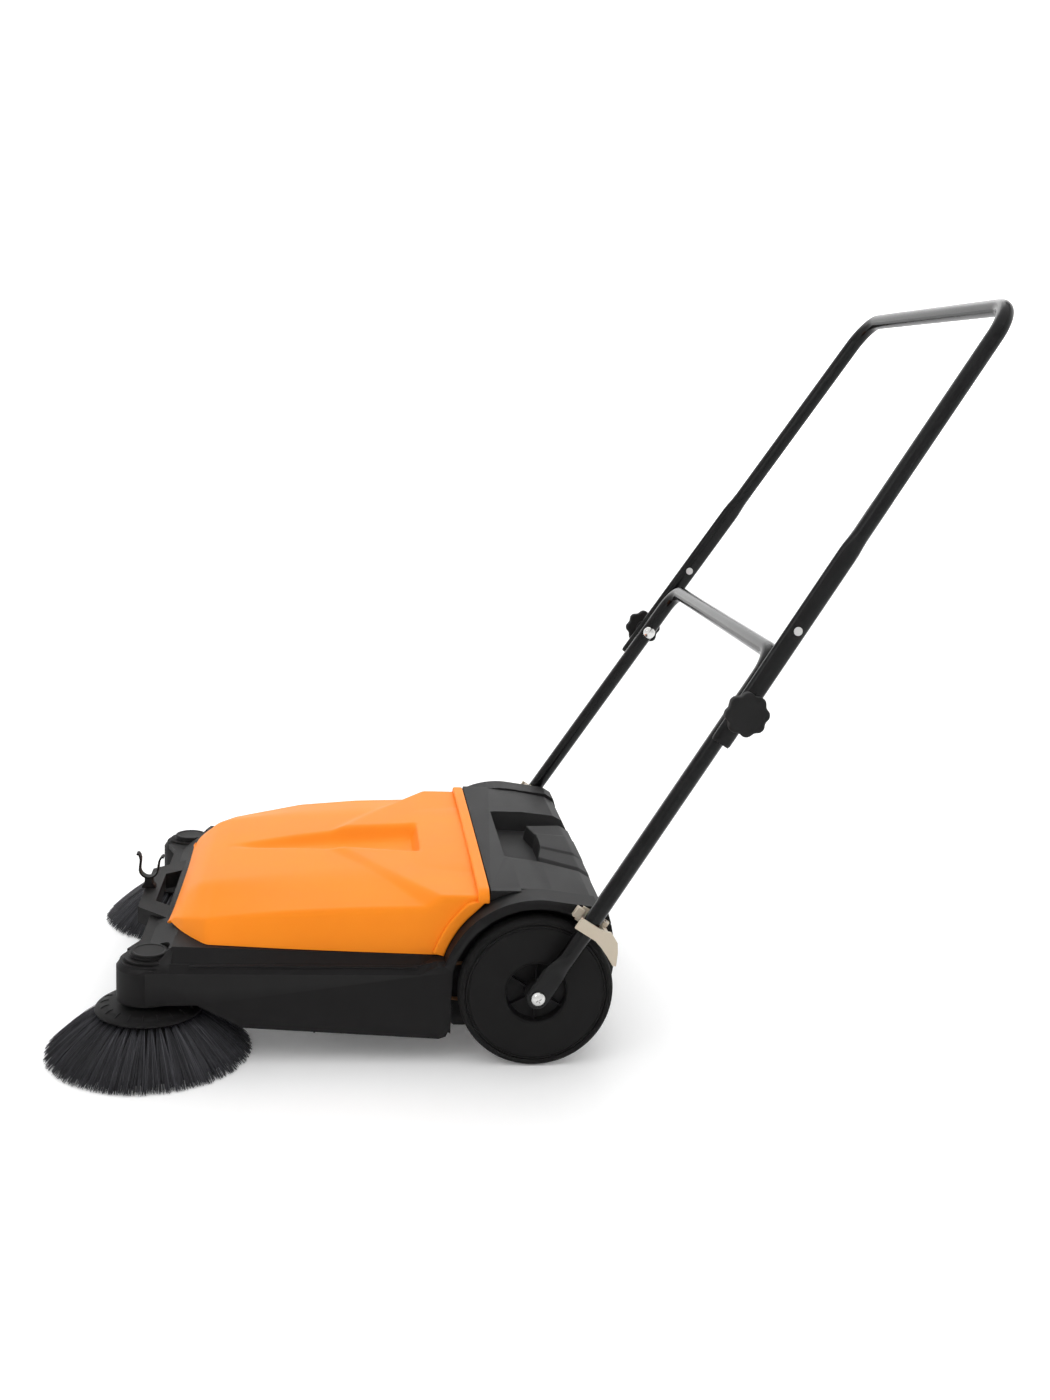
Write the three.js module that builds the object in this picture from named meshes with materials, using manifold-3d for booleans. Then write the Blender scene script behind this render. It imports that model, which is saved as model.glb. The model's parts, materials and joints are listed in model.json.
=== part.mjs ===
// Walk-behind push floor sweeper: two wheels drive two side brushes and a main brush roller through round belts,
// the dirt goes into a hopper at the back, and a two-part tubular handle folds forward over the body.
// Units are millimetres, +Z is up, the front of the sweeper faces -Y and its left side is +X.
// While it is built, the wheel axle lies at y = 0; the group is then moved so that its origin is the centre of
// its base.
import * as THREE from "three";
import { mergeVertices } from "three/addons/utils/BufferGeometryUtils.js";
import Module from "manifold-3d";

const wasm = await Module();
wasm.setup();

// ---------------------------------------------------------------- driving dimensions
const GAP = 0.3; // between pieces that touch
const RUNNING = 1.0; // between pieces that turn past each other
const WALL = 4; // chassis wall
const BODY_HALF = 290; // outer face of the side walls and wheel arches
const WHEEL_OUT = BODY_HALF + 8; // outer face of the wheel

const WHEEL_R = 100;
const TYRE_T = 9; // tyre depth, from tread to rim
const WHEEL_W = 30;
const WHEEL_SIDES = 36; // facets of the wheel and tyre, alike so that they nest
const HUB_R = 14;
const RECESS_R = 39;
const BOLT_R = 5;
const WHEEL_PULLEY_R = 32; // where its belts run

const CHEEK = BODY_HALF - 39; // outer face of the plate behind each wheel
const CHEEK_T = 5;
const WELL_R = 110;
const ARCH_R = 122;
const ARCH_REAR = 92; // rear end of the arch
const CHAMBER_HALF = CHEEK - 25; // half width of the brush chamber
const CHAMBER_FRONT = -279;
const CHAMBER_REAR = -112;
const CREASE_Z = 120.5;
const DECK_HALF = BODY_HALF - 28; // half width of the deck where the hood stands
const DECK_FRONT_Z = 145.5;
const DECK_REAR_Z = 136.5;
const DECK_FRONT = -455;
const DECK_REAR = -125.5; // where the deck meets the arch
const WALL_LOW_Z = 34; // lowest edge of the side walls

const BRUSH_X = BODY_HALF - 42;
const BRUSH_Y = -489;
const BRUSH_R = 130.5;
const PLATE_R = 67;
const PLATE_Z = 58; // underside of the brush plate's rim
const BOSS_R = 41;
const BOSS_LOW = 75;
const BOSS_TOP = 128;
const CAP_R = 24.7;
const CAP_T = 8;
const SPINDLE_R = 5;
const BRUSH_PULLEY_R = 18;
const BRUSH_PULLEY_Z = 106;
const BELT_R = 2.5;

const ROLLER_Y = -192;
const ROLLER_Z = WHEEL_R - 28;
const ROLLER_R = ROLLER_Z - 4; // its tips clear the floor by this much
const ROLLER_SHAFT_R = 4;
const ROLLER_CORE_R = 22;
const ROLLER_HALF = CHAMBER_HALF - 10;
const ROLLER_PULLEY_R = 16;
const BRUSH_BELT_X = CHEEK + 13.3; // planes of the two grooves in each wheel pulley
const ROLLER_BELT_X = CHEEK + 5.3;
const ROLLER_BELT_R = 1.5;

const HOPPER_HALF = CHEEK - 17;
const HOPPER_TOP_HALF = CHEEK + 3;
const HOPPER_FRONT = -59.5;
const HOPPER_LOW = 40;
const HOPPER_WALL = 3;
const FLAP_HALF = CHAMBER_HALF - 12; // half width of the rubber flaps
const FLAP_T = 2.7;
const TRAY_FRONT = -48; // front edge of the tray that carries the hopper

const TUBE_R = 11;
const TUBE_WALL = 1.5;
const LEG_ANGLE = 1.016; // of the handle above the horizontal
const KNOB_AT = 445; // distances along the leg, from the axle
const CROSSBAR_AT = 525;
const UPPER_END = 396;
const OVAL_END = 676;
const HOLLOW_FROM = 80; // below this the lower legs are pressed flat
const LOWER_BEND = 36;
const UPPER_BEND = 48;
const KNOB_BOLT_R = 4;
const PLUG_AT = 563.6;
const GRIP_AT = 1038.6;
const LOWER_SLOPE = 0.065; // how much the legs draw together, per millimetre of length
const UPPER_SLOPE = 0.08;
const KNOB_HALF = BODY_HALF + 1.5; // half spacing of the lower legs at the knobs
const SPADE_T = 6;
const OVAL_T = 15;
const OVAL_W = 26;
const KNOB_R = 28;
const KNOB_T = 24;

const CLIP_W = 14;
const CLIP_T = 3;
const BAR_TOP = 133; // top of the carry bar
const BAR_LOW = 110;

const LATCH_AT = 116.5; // middle of the latch, along the leg
const LATCH_BACK = 18; // its pin is this far behind the leg's axis
const LATCH_PIN_IN = 11.2; // and this far inboard of it
const LATCH_T = 4.5;
const PIN_R = 2;

// ---------------------------------------------------------------- colours
const finish = (color, roughness, metalness = 0) =>
  new THREE.MeshStandardMaterial({ color, roughness, metalness });
const ORANGE = finish(0xfe9428, 0.45);
const BLACK = finish(0x1f1e1f, 0.6);
const TOP_BLACK = finish(0x2c2b2c, 0.65);
const RUBBER = finish(0x212020, 0.9);
const TUBE = finish(0x101012, 0.2, 0.3);
const STEEL = finish(0xc4c6c8, 0.25, 1);
const BEIGE = finish(0xc2b8a6, 0.5);
const BRISTLE = finish(0x3b3b3f, 0.85);
const BELT = finish(0x8a5a2c, 0.6);
const NYLON = finish(0xbcbcba, 0.5);

// ---------------------------------------------------------------- solids
function toSolid(geometry) {
  const bare = geometry.index ? geometry.toNonIndexed() : geometry.clone();
  for (const name of Object.keys(bare.attributes)) {
    if (name !== "position") bare.deleteAttribute(name);
  }
  const merged = mergeVertices(bare, 1e-4);
  const solid = new wasm.Manifold(
    new wasm.Mesh({
      numProp: 3,
      vertProperties: merged.attributes.position.array,
      triVerts: new Uint32Array(merged.index.array),
    }),
  );
  return solid;
}

function toGeometry(solid) {
  const mesh = solid.getMesh();
  const geometry = new THREE.BufferGeometry();
  geometry.setAttribute("position", new THREE.BufferAttribute(new Float32Array(mesh.vertProperties), 3));
  geometry.setIndex(new THREE.BufferAttribute(new Uint32Array(mesh.triVerts), 1));
  return geometry;
}

const join = (...geometries) => toGeometry(geometries.map(toSolid).reduce((all, one) => all.add(one)));
const cut = (body, ...tools) =>
  toGeometry(tools.map(toSolid).reduce((left, tool) => left.subtract(tool), toSolid(body)));

// A closed skin over rings of equal length, each a list of [x, y, z].
function loft(rings) {
  const n = rings[0].length;
  const triangles = [];
  for (let r = 0; r + 1 < rings.length; r++) {
    for (let i = 0; i < n; i++) {
      const j = (i + 1) % n;
      triangles.push(rings[r][i], rings[r][j], rings[r + 1][j]);
      triangles.push(rings[r][i], rings[r + 1][j], rings[r + 1][i]);
    }
  }
  const capAt = (ring, flip) => {
    const axes = flatAxes(ring);
    const flat = ring.map((p) => new THREE.Vector2(p[axes[0]], p[axes[1]]));
    const clockwise = THREE.ShapeUtils.isClockWise(flat);
    const faces = THREE.ShapeUtils.triangulateShape(clockwise ? flat.slice().reverse() : flat, []);
    for (const face of faces) {
      const index = face.map((k) => (clockwise ? n - 1 - k : k));
      if (clockwise) index.reverse();
      if (flip) index.reverse();
      for (const k of index) triangles.push(ring[k]);
    }
  };
  capAt(rings[0], true);
  capAt(rings[rings.length - 1], false);
  const geometry = new THREE.BufferGeometry();
  geometry.setAttribute("position", new THREE.Float32BufferAttribute(triangles.flat(), 3));
  const solid = volumeOf(geometry);
  return solid < 0 ? flipped(geometry) : geometry;
}

// The two axes that a flat ring spreads over most.
function flatAxes(ring) {
  const spread = [0, 1, 2].map((a) => Math.max(...ring.map((p) => p[a])) - Math.min(...ring.map((p) => p[a])));
  const least = spread.indexOf(Math.min(...spread));
  return [0, 1, 2].filter((a) => a !== least);
}

function volumeOf(geometry) {
  const p = geometry.attributes.position;
  const [a, b, c] = [new THREE.Vector3(), new THREE.Vector3(), new THREE.Vector3()];
  let sum = 0;
  for (let i = 0; i < p.count; i += 3) {
    a.fromBufferAttribute(p, i);
    b.fromBufferAttribute(p, i + 1);
    c.fromBufferAttribute(p, i + 2);
    sum += a.dot(b.cross(c)) / 6;
  }
  return sum;
}

function flipped(geometry) {
  const p = geometry.attributes.position.array;
  for (let i = 0; i < p.length; i += 9) {
    for (let k = 0; k < 3; k++) {
      [p[i + 3 + k], p[i + 6 + k]] = [p[i + 6 + k], p[i + 3 + k]];
    }
  }
  return geometry;
}

// The same piece for the other side of the machine.
function mirrored(geometry) {
  const other = (geometry.index ? geometry.toNonIndexed() : geometry.clone()).scale(-1, 1, 1);
  return flipped(other);
}

const outline = (points) => new THREE.Shape(points.map(([u, v]) => new THREE.Vector2(u, v)));
const ALONG_X = new THREE.Matrix4().makeBasis(
  new THREE.Vector3(0, 1, 0),
  new THREE.Vector3(0, 0, 1),
  new THREE.Vector3(1, 0, 0),
);

function extrude(shape, depth, curveSegments = 12) {
  return new THREE.ExtrudeGeometry(shape, { depth, bevelEnabled: false, curveSegments });
}

// A (y, z) outline swept from x0 to x1.
const slabX = (shape, x0, x1, curveSegments) =>
  extrude(shape, x1 - x0, curveSegments).applyMatrix4(ALONG_X).translate(x0, 0, 0);
// An (x, y) outline swept from z0 to z1.
const slabZ = (shape, z0, z1, curveSegments) => extrude(shape, z1 - z0, curveSegments).translate(0, 0, z0);

const box = (x0, x1, y0, y1, z0, z1) =>
  new THREE.BoxGeometry(x1 - x0, y1 - y0, z1 - z0).translate((x0 + x1) / 2, (y0 + y1) / 2, (z0 + z1) / 2);

// A closed (radius, height) profile turned about the Z axis.
function turnZ(profile, segments = 24) {
  const loop = [...profile, profile[0]].map(([r, h]) => new THREE.Vector2(r, h));
  const geometry = new THREE.LatheGeometry(loop, segments).rotateX(Math.PI / 2);
  const bare = geometry.toNonIndexed();
  bare.deleteAttribute("normal");
  bare.deleteAttribute("uv");
  return volumeOf(bare) < 0 ? flipped(bare) : bare;
}
// The same about the X axis: heights become x.
const turnX = (profile, segments) => turnZ(profile, segments).rotateY(Math.PI / 2);

const rodProfile = (radius, from, to) => [
  [0, from],
  [radius, from],
  [radius, to],
  [0, to],
];
const rodX = (radius, x0, x1, segments = 16) => turnX(rodProfile(radius, x0, x1), segments);
const rodZ = (radius, z0, z1, segments = 16) => turnZ(rodProfile(radius, z0, z1), segments);
const ringZ = (inner, outer, z0, z1, segments) =>
  turnZ([[inner, z0], [outer, z0], [outer, z1], [inner, z1]], segments);
const ringX = (inner, outer, x0, x1, segments) =>
  turnX([[inner, x0], [outer, x0], [outer, x1], [inner, x1]], segments);

// A six-sided nut standing on z = 0, with a bore that clears a thread of the given radius.
const hexNut = (thread, radius, height) => ringZ((thread + GAP) / Math.cos(Math.PI / 6), radius, 0, height, 6);

// A path through chosen stations, so that a tube has a section just where it bends.
class StationPath extends THREE.Curve {
  constructor(points, tangents) {
    super();
    this.points = points;
    this.tangents = tangents;
  }
  station(u) {
    return Math.round(u * (this.points.length - 1));
  }
  getPoint(u) {
    return this.points[this.station(u)].clone();
  }
  getPointAt(u) {
    return this.getPoint(u);
  }
  getTangentAt(u) {
    return this.tangents[this.station(u)].clone();
  }
}

// Stations along a chain of corners, each rounded with its bend radius.
function bentPath(corners, bends, stepsPerBend = 5) {
  const points = [corners[0]];
  const tangents = [corners[1].clone().sub(corners[0]).normalize()];
  for (let i = 1; i + 1 < corners.length; i++) {
    const before = corners[i].clone().sub(corners[i - 1]).normalize();
    const after = corners[i + 1].clone().sub(corners[i]).normalize();
    const turn = before.angleTo(after);
    const setback = bends[i - 1] * Math.tan(turn / 2);
    const start = corners[i].clone().addScaledVector(before, -setback);
    const inward = after.clone().addScaledVector(before, -after.dot(before)).normalize();
    for (let k = 0; k <= stepsPerBend; k++) {
      const angle = (turn * k) / stepsPerBend;
      points.push(
        start
          .clone()
          .addScaledVector(before, bends[i - 1] * Math.sin(angle))
          .addScaledVector(inward, bends[i - 1] * (1 - Math.cos(angle))),
      );
      tangents.push(before.clone().multiplyScalar(Math.cos(angle)).addScaledVector(inward, Math.sin(angle)));
    }
  }
  points.push(corners[corners.length - 1]);
  tangents.push(corners[corners.length - 1].clone().sub(corners[corners.length - 2]).normalize());
  return new StationPath(points, tangents);
}

function tube(path, radius, sides = 12) {
  const shape = new THREE.Shape();
  shape.absarc(0, 0, radius, 0, 2 * Math.PI, false);
  return new THREE.ExtrudeGeometry(shape, {
    steps: path.points.length - 1,
    curveSegments: sides,
    extrudePath: path,
  });
}

// ---------------------------------------------------------------- the handle's line
const LEG_DIR = new THREE.Vector3(0, Math.cos(LEG_ANGLE), Math.sin(LEG_ANGLE));
const LEG_FRONT = new THREE.Vector3(0, -Math.sin(LEG_ANGLE), Math.cos(LEG_ANGLE));
const lowerHalf = (t) => KNOB_HALF + LOWER_SLOPE * (KNOB_AT - t);
const upperHalf = (t) => KNOB_HALF + TUBE_R + OVAL_T / 2 + RUNNING - UPPER_SLOPE * (t - KNOB_AT);
// The point at distance t along the leg, x to the side and f in front of the leg's line.
const onLeg = (x, t, f = 0) =>
  new THREE.Vector3(x, 0, WHEEL_R).addScaledVector(LEG_DIR, t).addScaledVector(LEG_FRONT, f);
// Carries a piece built with x to the side, y towards the leg's front and z along the leg.
// That frame is left-handed.
const LEG_FRAME = new THREE.Matrix4()
  .makeBasis(new THREE.Vector3(1, 0, 0), LEG_FRONT, LEG_DIR)
  .setPosition(0, 0, WHEEL_R);
const alongLeg = (geometry) =>
  flipped((geometry.index ? geometry.toNonIndexed() : geometry).applyMatrix4(LEG_FRAME));
const sides = [
  ["left", (geometry) => geometry],
  ["right", mirrored],
];

const assembly = new THREE.Group();
function add(name, geometry, material) {
  const mesh = new THREE.Mesh(geometry, material);
  mesh.name = name;
  assembly.add(mesh);
}
function addPair(name, geometry, material) {
  for (const [side, place] of sides) add(`${side}_${name}`, place(geometry), material);
}

// ---------------------------------------------------------------- chassis
const DECK_SLOPE = (DECK_REAR_Z - DECK_FRONT_Z) / (DECK_REAR - DECK_FRONT);
const deckZ = (y) => DECK_FRONT_Z + DECK_SLOPE * (y - DECK_FRONT);

function archOutline(radius) {
  const shape = new THREE.Shape();
  shape.moveTo(-radius, 52);
  shape.lineTo(-radius, WHEEL_R);
  shape.absarc(0, WHEEL_R, radius, Math.PI, (85 * Math.PI) / 180, true);
  shape.lineTo(75, 213);
  shape.lineTo(88, 205);
  shape.lineTo(ARCH_REAR, 193);
  shape.lineTo(ARCH_REAR, 60);
  shape.lineTo(80, 36);
  shape.lineTo(-100, 36);
  return shape;
}

function chassisHalf() {
  const wall = slabX(
    outline([
      [BRUSH_Y, BOSS_LOW + 3],
      [-426, 79],
      [-369, 49],
      [-122, WALL_LOW_Z],
      [-113, 37],
      [-109, 46],
      [-107, 132],
      [-127, 132],
      [-149, CREASE_Z],
      [BRUSH_Y, CREASE_Z],
    ]),
    BODY_HALF - WALL - 1,
    BODY_HALF,
  );
  const shoulderAt = (y, rise) => [
    [BODY_HALF, y, CREASE_Z + rise],
    [BODY_HALF - 8, y, CREASE_Z + 10 + rise / 2],
    [BODY_HALF - 10, y, CREASE_Z + 9.4 + rise / 2],
    [DECK_HALF, y, deckZ(y)],
    [CHAMBER_HALF - WALL, y, deckZ(y)],
    [CHAMBER_HALF - WALL, y, deckZ(y) - WALL],
    [DECK_HALF - 2, y, deckZ(y) - WALL - 1],
    [BODY_HALF - WALL - 1, y, CREASE_Z - 4],
  ];
  const shoulder = loft([
    shoulderAt(-460, 0),
    shoulderAt(-149, 0),
    shoulderAt(-127, 11.5),
    shoulderAt(-108, 11.5),
  ]);
  const arch = cut(
    slabX(archOutline(ARCH_R), CHEEK - CHEEK_T, BODY_HALF, 16),
    rodX(WELL_R, CHEEK, BODY_HALF + 1, 32).translate(0, 0, WHEEL_R),
    box(CHEEK, BODY_HALF + 1, -107, 110, 0, WHEEL_R),
  );
  const boss = join(
    turnZ(
      [
        [CAP_R - 2, 122],
        [CAP_R - 2, BOSS_TOP],
        [30, BOSS_TOP],
        [31, BOSS_TOP - 4],
        [BOSS_R - 4, BOSS_TOP - 5],
        [BOSS_R, BOSS_TOP - 11],
        [BOSS_R, BOSS_LOW],
        [BOSS_R - WALL, BOSS_LOW],
        [BOSS_R - WALL, 84],
        [12, 84],
        [12, 96],
        [BOSS_R - WALL, 96],
        [BOSS_R - WALL, 118],
        [30, 122],
      ],
      20,
    ),
    ringZ(SPINDLE_R + 4, 14, 80, 98, 12),
  ).translate(BRUSH_X, BRUSH_Y, 0);
  const endPlate = slabX(
    outline([
      [CHAMBER_FRONT, 40],
      [CHAMBER_REAR, 34],
      [CHAMBER_REAR, deckZ(CHAMBER_REAR)],
      [CHAMBER_FRONT, deckZ(CHAMBER_FRONT)],
    ]),
    CHAMBER_HALF - WALL,
    CHAMBER_HALF,
  );
  const web = box(CHAMBER_HALF - 1, CHEEK, -118, CHAMBER_REAR, 36, deckZ(CHAMBER_REAR) - 1);
  const whole = join(wall, shoulder, arch, boss, endPlate, web);
  return cut(
    whole,
    // Openings for the belts, the wheel's bolt and the brush shaft.
    box(CHEEK - 0.5, BRUSH_BELT_X + 5, -ARCH_R - 4, -WELL_R + 8, WHEEL_R - 48, 131),
    slabZ(
      outline([
        [BRUSH_X - 23, BRUSH_Y],
        [BRUSH_X + 23, BRUSH_Y],
        [BRUSH_X + 25, -430],
        [BRUSH_X - 20, -430],
      ]),
      99,
      114,
    ),
    rodX(BOLT_R + 0.5, CHEEK - 10, CHEEK + 10, 20).translate(0, 0, WHEEL_R),
    rodX(13, CHAMBER_HALF - 10, CHAMBER_HALF + 10, 24).translate(0, ROLLER_Y, ROLLER_Z),
  );
}

function chassis() {
  const half = chassisHalf();
  const frontDeck = (() => {
    const at = (y, halfWidth, z) => [
      [-halfWidth, y, z],
      [-halfWidth, y, z - WALL],
      [halfWidth, y, z - WALL],
      [halfWidth, y, z],
    ];
    return loft([
      at(-507, BRUSH_X - 58, BOSS_TOP - 1),
      at(-494, BRUSH_X - 48, BOSS_TOP - 1),
      at(-462, DECK_HALF, DECK_FRONT_Z - 2),
      at(DECK_FRONT, DECK_HALF, DECK_FRONT_Z),
      at(CHAMBER_FRONT, DECK_HALF, deckZ(CHAMBER_FRONT)),
    ]);
  })();
  const bossBridge = slabZ(
    outline([
      [BRUSH_X - 58, -507],
      [BRUSH_X - 26, -520],
      [BRUSH_X - 16, -500],
      [BRUSH_X - 16, -470],
      [BRUSH_X - 58, -470],
    ]),
    BOSS_TOP - 9,
    BOSS_TOP - 1,
  );
  const panelTop = deckZ(CHAMBER_FRONT) - 1;
  const frontPanel = box(-CHAMBER_HALF, CHAMBER_HALF, CHAMBER_FRONT, CHAMBER_FRONT + WALL, 42, panelTop);
  const tray = box(-CHEEK + 1, CHEEK - 1, TRAY_FRONT, 70, 36, HOPPER_LOW - GAP);
  const carryRing = cut(
    slabZ(
      outline([
        [-82, -526],
        [82, -526],
        [128, -478],
        [150, -452],
        [-150, -452],
        [-128, -478],
      ]),
      BAR_LOW,
      BAR_TOP,
    ),
    slabZ(
      outline([
        [-58, -505],
        [58, -505],
        [76, -484],
        [-76, -484],
      ]),
      BAR_LOW - 1,
      BAR_TOP + 1,
    ),
    box(-200, 200, -480, -440, DECK_FRONT_Z - 6, DECK_FRONT_Z + 5),
  );
  const front = join(frontDeck, bossBridge, mirrored(bossBridge), frontPanel, carryRing);
  const body = join(half, mirrored(half), front, tray);
  const capSeat = (x) => rodZ(CAP_R + RUNNING, BOSS_TOP, BOSS_TOP + 30, 24).translate(x, BRUSH_Y, 0);
  return cut(
    body,
    capSeat(BRUSH_X),
    capSeat(-BRUSH_X),
    rodZ(1.8, BAR_TOP - 14, BAR_TOP + 1, 10).translate(0, CLIP_Y, 0),
    // The hand opening goes through the deck behind the carry bar as well.
    slabZ(outline([[-58, -505], [58, -505], [76, -484], [-76, -484]]), BAR_LOW - 30, BAR_TOP + 30),
    ...HOOD_SCREWS.map(([x, y]) => rodZ(2, deckZ(y) - 12, deckZ(y) + 6, 10).translate(x, y, 0)),
  );
}

// ---------------------------------------------------------------- places that several pieces share
const CLIP_Z = BAR_TOP + 28;
const CLIP_Y = -Math.sqrt(CROSSBAR_AT ** 2 - (CLIP_Z - WHEEL_R) ** 2);
const HOOD_SCREWS = [
  [-(DECK_HALF - 62), -410],
  [DECK_HALF - 62, -410],
  [-(DECK_HALF - 12), -150],
  [DECK_HALF - 12, -150],
];

// ---------------------------------------------------------------- hood
const HOOD_T = 3;
// Each section: y, half width and height of the crease, half width of the base, height at the middle.
const HOOD_SECTIONS = [
  [-470, DECK_HALF - 90, 152, DECK_HALF - 86, 153],
  [-455, DECK_HALF - 66, 160, DECK_HALF - 56, 174],
  [-438, DECK_HALF - 50, 166, DECK_HALF - 32, 189],
  [-419, DECK_HALF - 33, 171, DECK_HALF - 10, 194],
  [-318, DECK_HALF - 13, 188, DECK_HALF - 3, 204],
  [-232, DECK_HALF - 7, 195, DECK_HALF - 2, 210],
  [-140, DECK_HALF - 5, 198.5, DECK_HALF - 1, 215],
  [-118, DECK_HALF - 11, 212, DECK_HALF - 1, 215.5],
  [-76, DECK_HALF - 12, 213, DECK_HALF - 1, 216],
];
const RIM_REAR = -61; // rear face of the hood's raised rim
function hoodRing([y, halfWidth, creaseZ, baseHalf, topZ], inset, baseDrop) {
  const crown = [
    [0.25, 1],
    [0.55, 0.82],
    [0.8, 0.45],
    [1, 0],
  ];
  const right = [
    [baseHalf - inset, y, deckZ(Math.max(y, DECK_FRONT)) + GAP - baseDrop],
    ...crown
      .slice()
      .reverse()
      .map(([share, rise]) => [(halfWidth - inset) * share, y, creaseZ + (topZ - creaseZ) * rise - inset]),
  ];
  const left = right
    .slice()
    .reverse()
    .map(([x, yy, z]) => [-x, yy, z]);
  return [...right, ...left];
}
function hood() {
  const rear = HOOD_SECTIONS[HOOD_SECTIONS.length - 1];
  const rim = [
    [-74, DECK_HALF - 7.5, 221, DECK_HALF + 3, 223.5],
    [RIM_REAR, DECK_HALF - 7.5, 222, DECK_HALF + 3, 224],
  ];
  const outer = loft([...HOOD_SECTIONS, ...rim].map((s) => hoodRing(s, 0, 0)));
  const innerSections = [...HOOD_SECTIONS, [-50, rear[1], rear[2], rear[3], rear[4]]].map(([y, ...rest]) => [
    y === -470 ? y + HOOD_T : y,
    ...rest,
  ]);
  const inner = loft(innerSections.map((s) => hoodRing(s, HOOD_T, 20)));
  const scoop = loft([
    [
      [-3, -440, 200],
      [3, -440, 200],
      [3, -440, 188],
      [-3, -440, 188],
    ],
    [
      [-48, -300, 230],
      [48, -300, 230],
      [30, -300, 192],
      [-30, -300, 192],
    ],
    [
      [-66, -150, 240],
      [66, -150, 240],
      [52, -146, 193],
      [-52, -146, 193],
    ],
    [
      [-66, -138, 240],
      [66, -138, 240],
      [52, -142, 193],
      [-52, -142, 193],
    ],
  ]);
  const scoopSkin = loft([
    [
      [-7, -436, 196],
      [7, -436, 196],
      [6, -436, 184],
      [-6, -436, 184],
    ],
    [
      [-52, -300, 206],
      [52, -300, 206],
      [34, -300, 188],
      [-34, -300, 188],
    ],
    [
      [-70, -150, 214],
      [70, -150, 214],
      [56, -146, 189],
      [-56, -146, 189],
    ],
    [
      [-70, -134, 214],
      [70, -134, 214],
      [56, -138, 189],
      [-56, -138, 189],
    ],
  ]);
  const skin = toGeometry(toSolid(outer).intersect(toSolid(scoopSkin)));
  const shell = join(cut(outer, inner), skin);
  const archClear = rodX(ARCH_R + 0.8, CHEEK - CHEEK_T - 1, BODY_HALF - 10, 36).translate(0, 0, WHEEL_R);
  const rimAlongArch = cut(
    ringX(ARCH_R + 0.8, ARCH_R + 9, DECK_HALF - 12, DECK_HALF + 4, 36).translate(0, 0, WHEEL_R),
    box(0, BODY_HALF, RIM_REAR, 200, -50, 260),
    box(0, BODY_HALF, -200, 200, -50, DECK_REAR_Z + 1.5),
  );
  const lug = ([x, y]) =>
    cut(
      rodZ(6, deckZ(y) + GAP, deckZ(y) + 40, 12).translate(x, y, 0),
      rodZ(2, deckZ(y), deckZ(y) + 10, 10).translate(x, y, 0),
    );
  const lugs = HOOD_SCREWS.map((at) => toGeometry(toSolid(lug(at)).intersect(toSolid(outer))));
  const whole = join(shell, rimAlongArch, mirrored(rimAlongArch), ...lugs);
  return cut(whole, archClear, mirrored(archClear), scoop);
}

// ---------------------------------------------------------------- hopper
function hopper() {
  const profile = [
    [HOPPER_FRONT, HOPPER_LOW],
    [HOPPER_FRONT, 221],
    [75, 209],
    [88, 201],
    [104, 168],
    [112, 130],
    [104, 60],
    [92, HOPPER_LOW],
  ];
  const body = slabX(outline(profile), -HOPPER_HALF, HOPPER_HALF);
  const crest = cut(
    slabX(
      outline([
        [HOPPER_FRONT, 150],
        [HOPPER_FRONT, 221],
        [75, 207],
        [86, 200],
        [100, 168],
        [104, 150],
      ]),
      -HOPPER_TOP_HALF,
      HOPPER_TOP_HALF,
    ),
    slabX(archOutline(ARCH_R + 1), CHEEK - CHEEK_T - 2, BODY_HALF, 28),
    mirrored(slabX(archOutline(ARCH_R + 1), CHEEK - CHEEK_T - 2, BODY_HALF, 28)),
    box(CHEEK - CHEEK_T - 2, BODY_HALF, 0, 200, 0, 222),
    box(-BODY_HALF, -(CHEEK - CHEEK_T - 2), 0, 200, 0, 222),
    box(HOPPER_HALF - 1, BODY_HALF, -120, 200, 0, 175),
    box(-BODY_HALF, -HOPPER_HALF + 1, -120, 200, 0, 175),
  );
  const pocketAt = (grow, top) =>
    slabZ(
      outline([
        [-111 - grow, -28 - grow],
        [111 + grow, -28 - grow],
        [150 + grow, 130],
        [-150 - grow, 130],
      ]),
      170 - grow,
      top,
    );
  const tongue = loft([
    [
      [-82, 26, 160],
      [82, 26, 160],
      [80, 30, 199],
      [-80, 30, 199],
    ],
    [
      [-112, 99, 160],
      [112, 99, 160],
      [110, 92, 188],
      [-110, 92, 188],
    ],
  ]);
  const cavity = cut(
    slabX(
      outline([
        [HOPPER_FRONT - 2, HOPPER_LOW + 14],
        [HOPPER_FRONT - 2, 217],
        [74, 205],
        [85, 198],
        [100, 168],
        [108, 130],
        [100, 61],
        [90, HOPPER_LOW + HOPPER_WALL],
        [HOPPER_FRONT + 6, HOPPER_LOW + HOPPER_WALL],
      ]),
      -HOPPER_HALF + HOPPER_WALL,
      HOPPER_HALF - HOPPER_WALL,
    ),
    pocketAt(HOPPER_WALL, 240),
  );
  return join(cut(join(body, crest), cavity, pocketAt(0, 240)), tongue);
}

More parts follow.
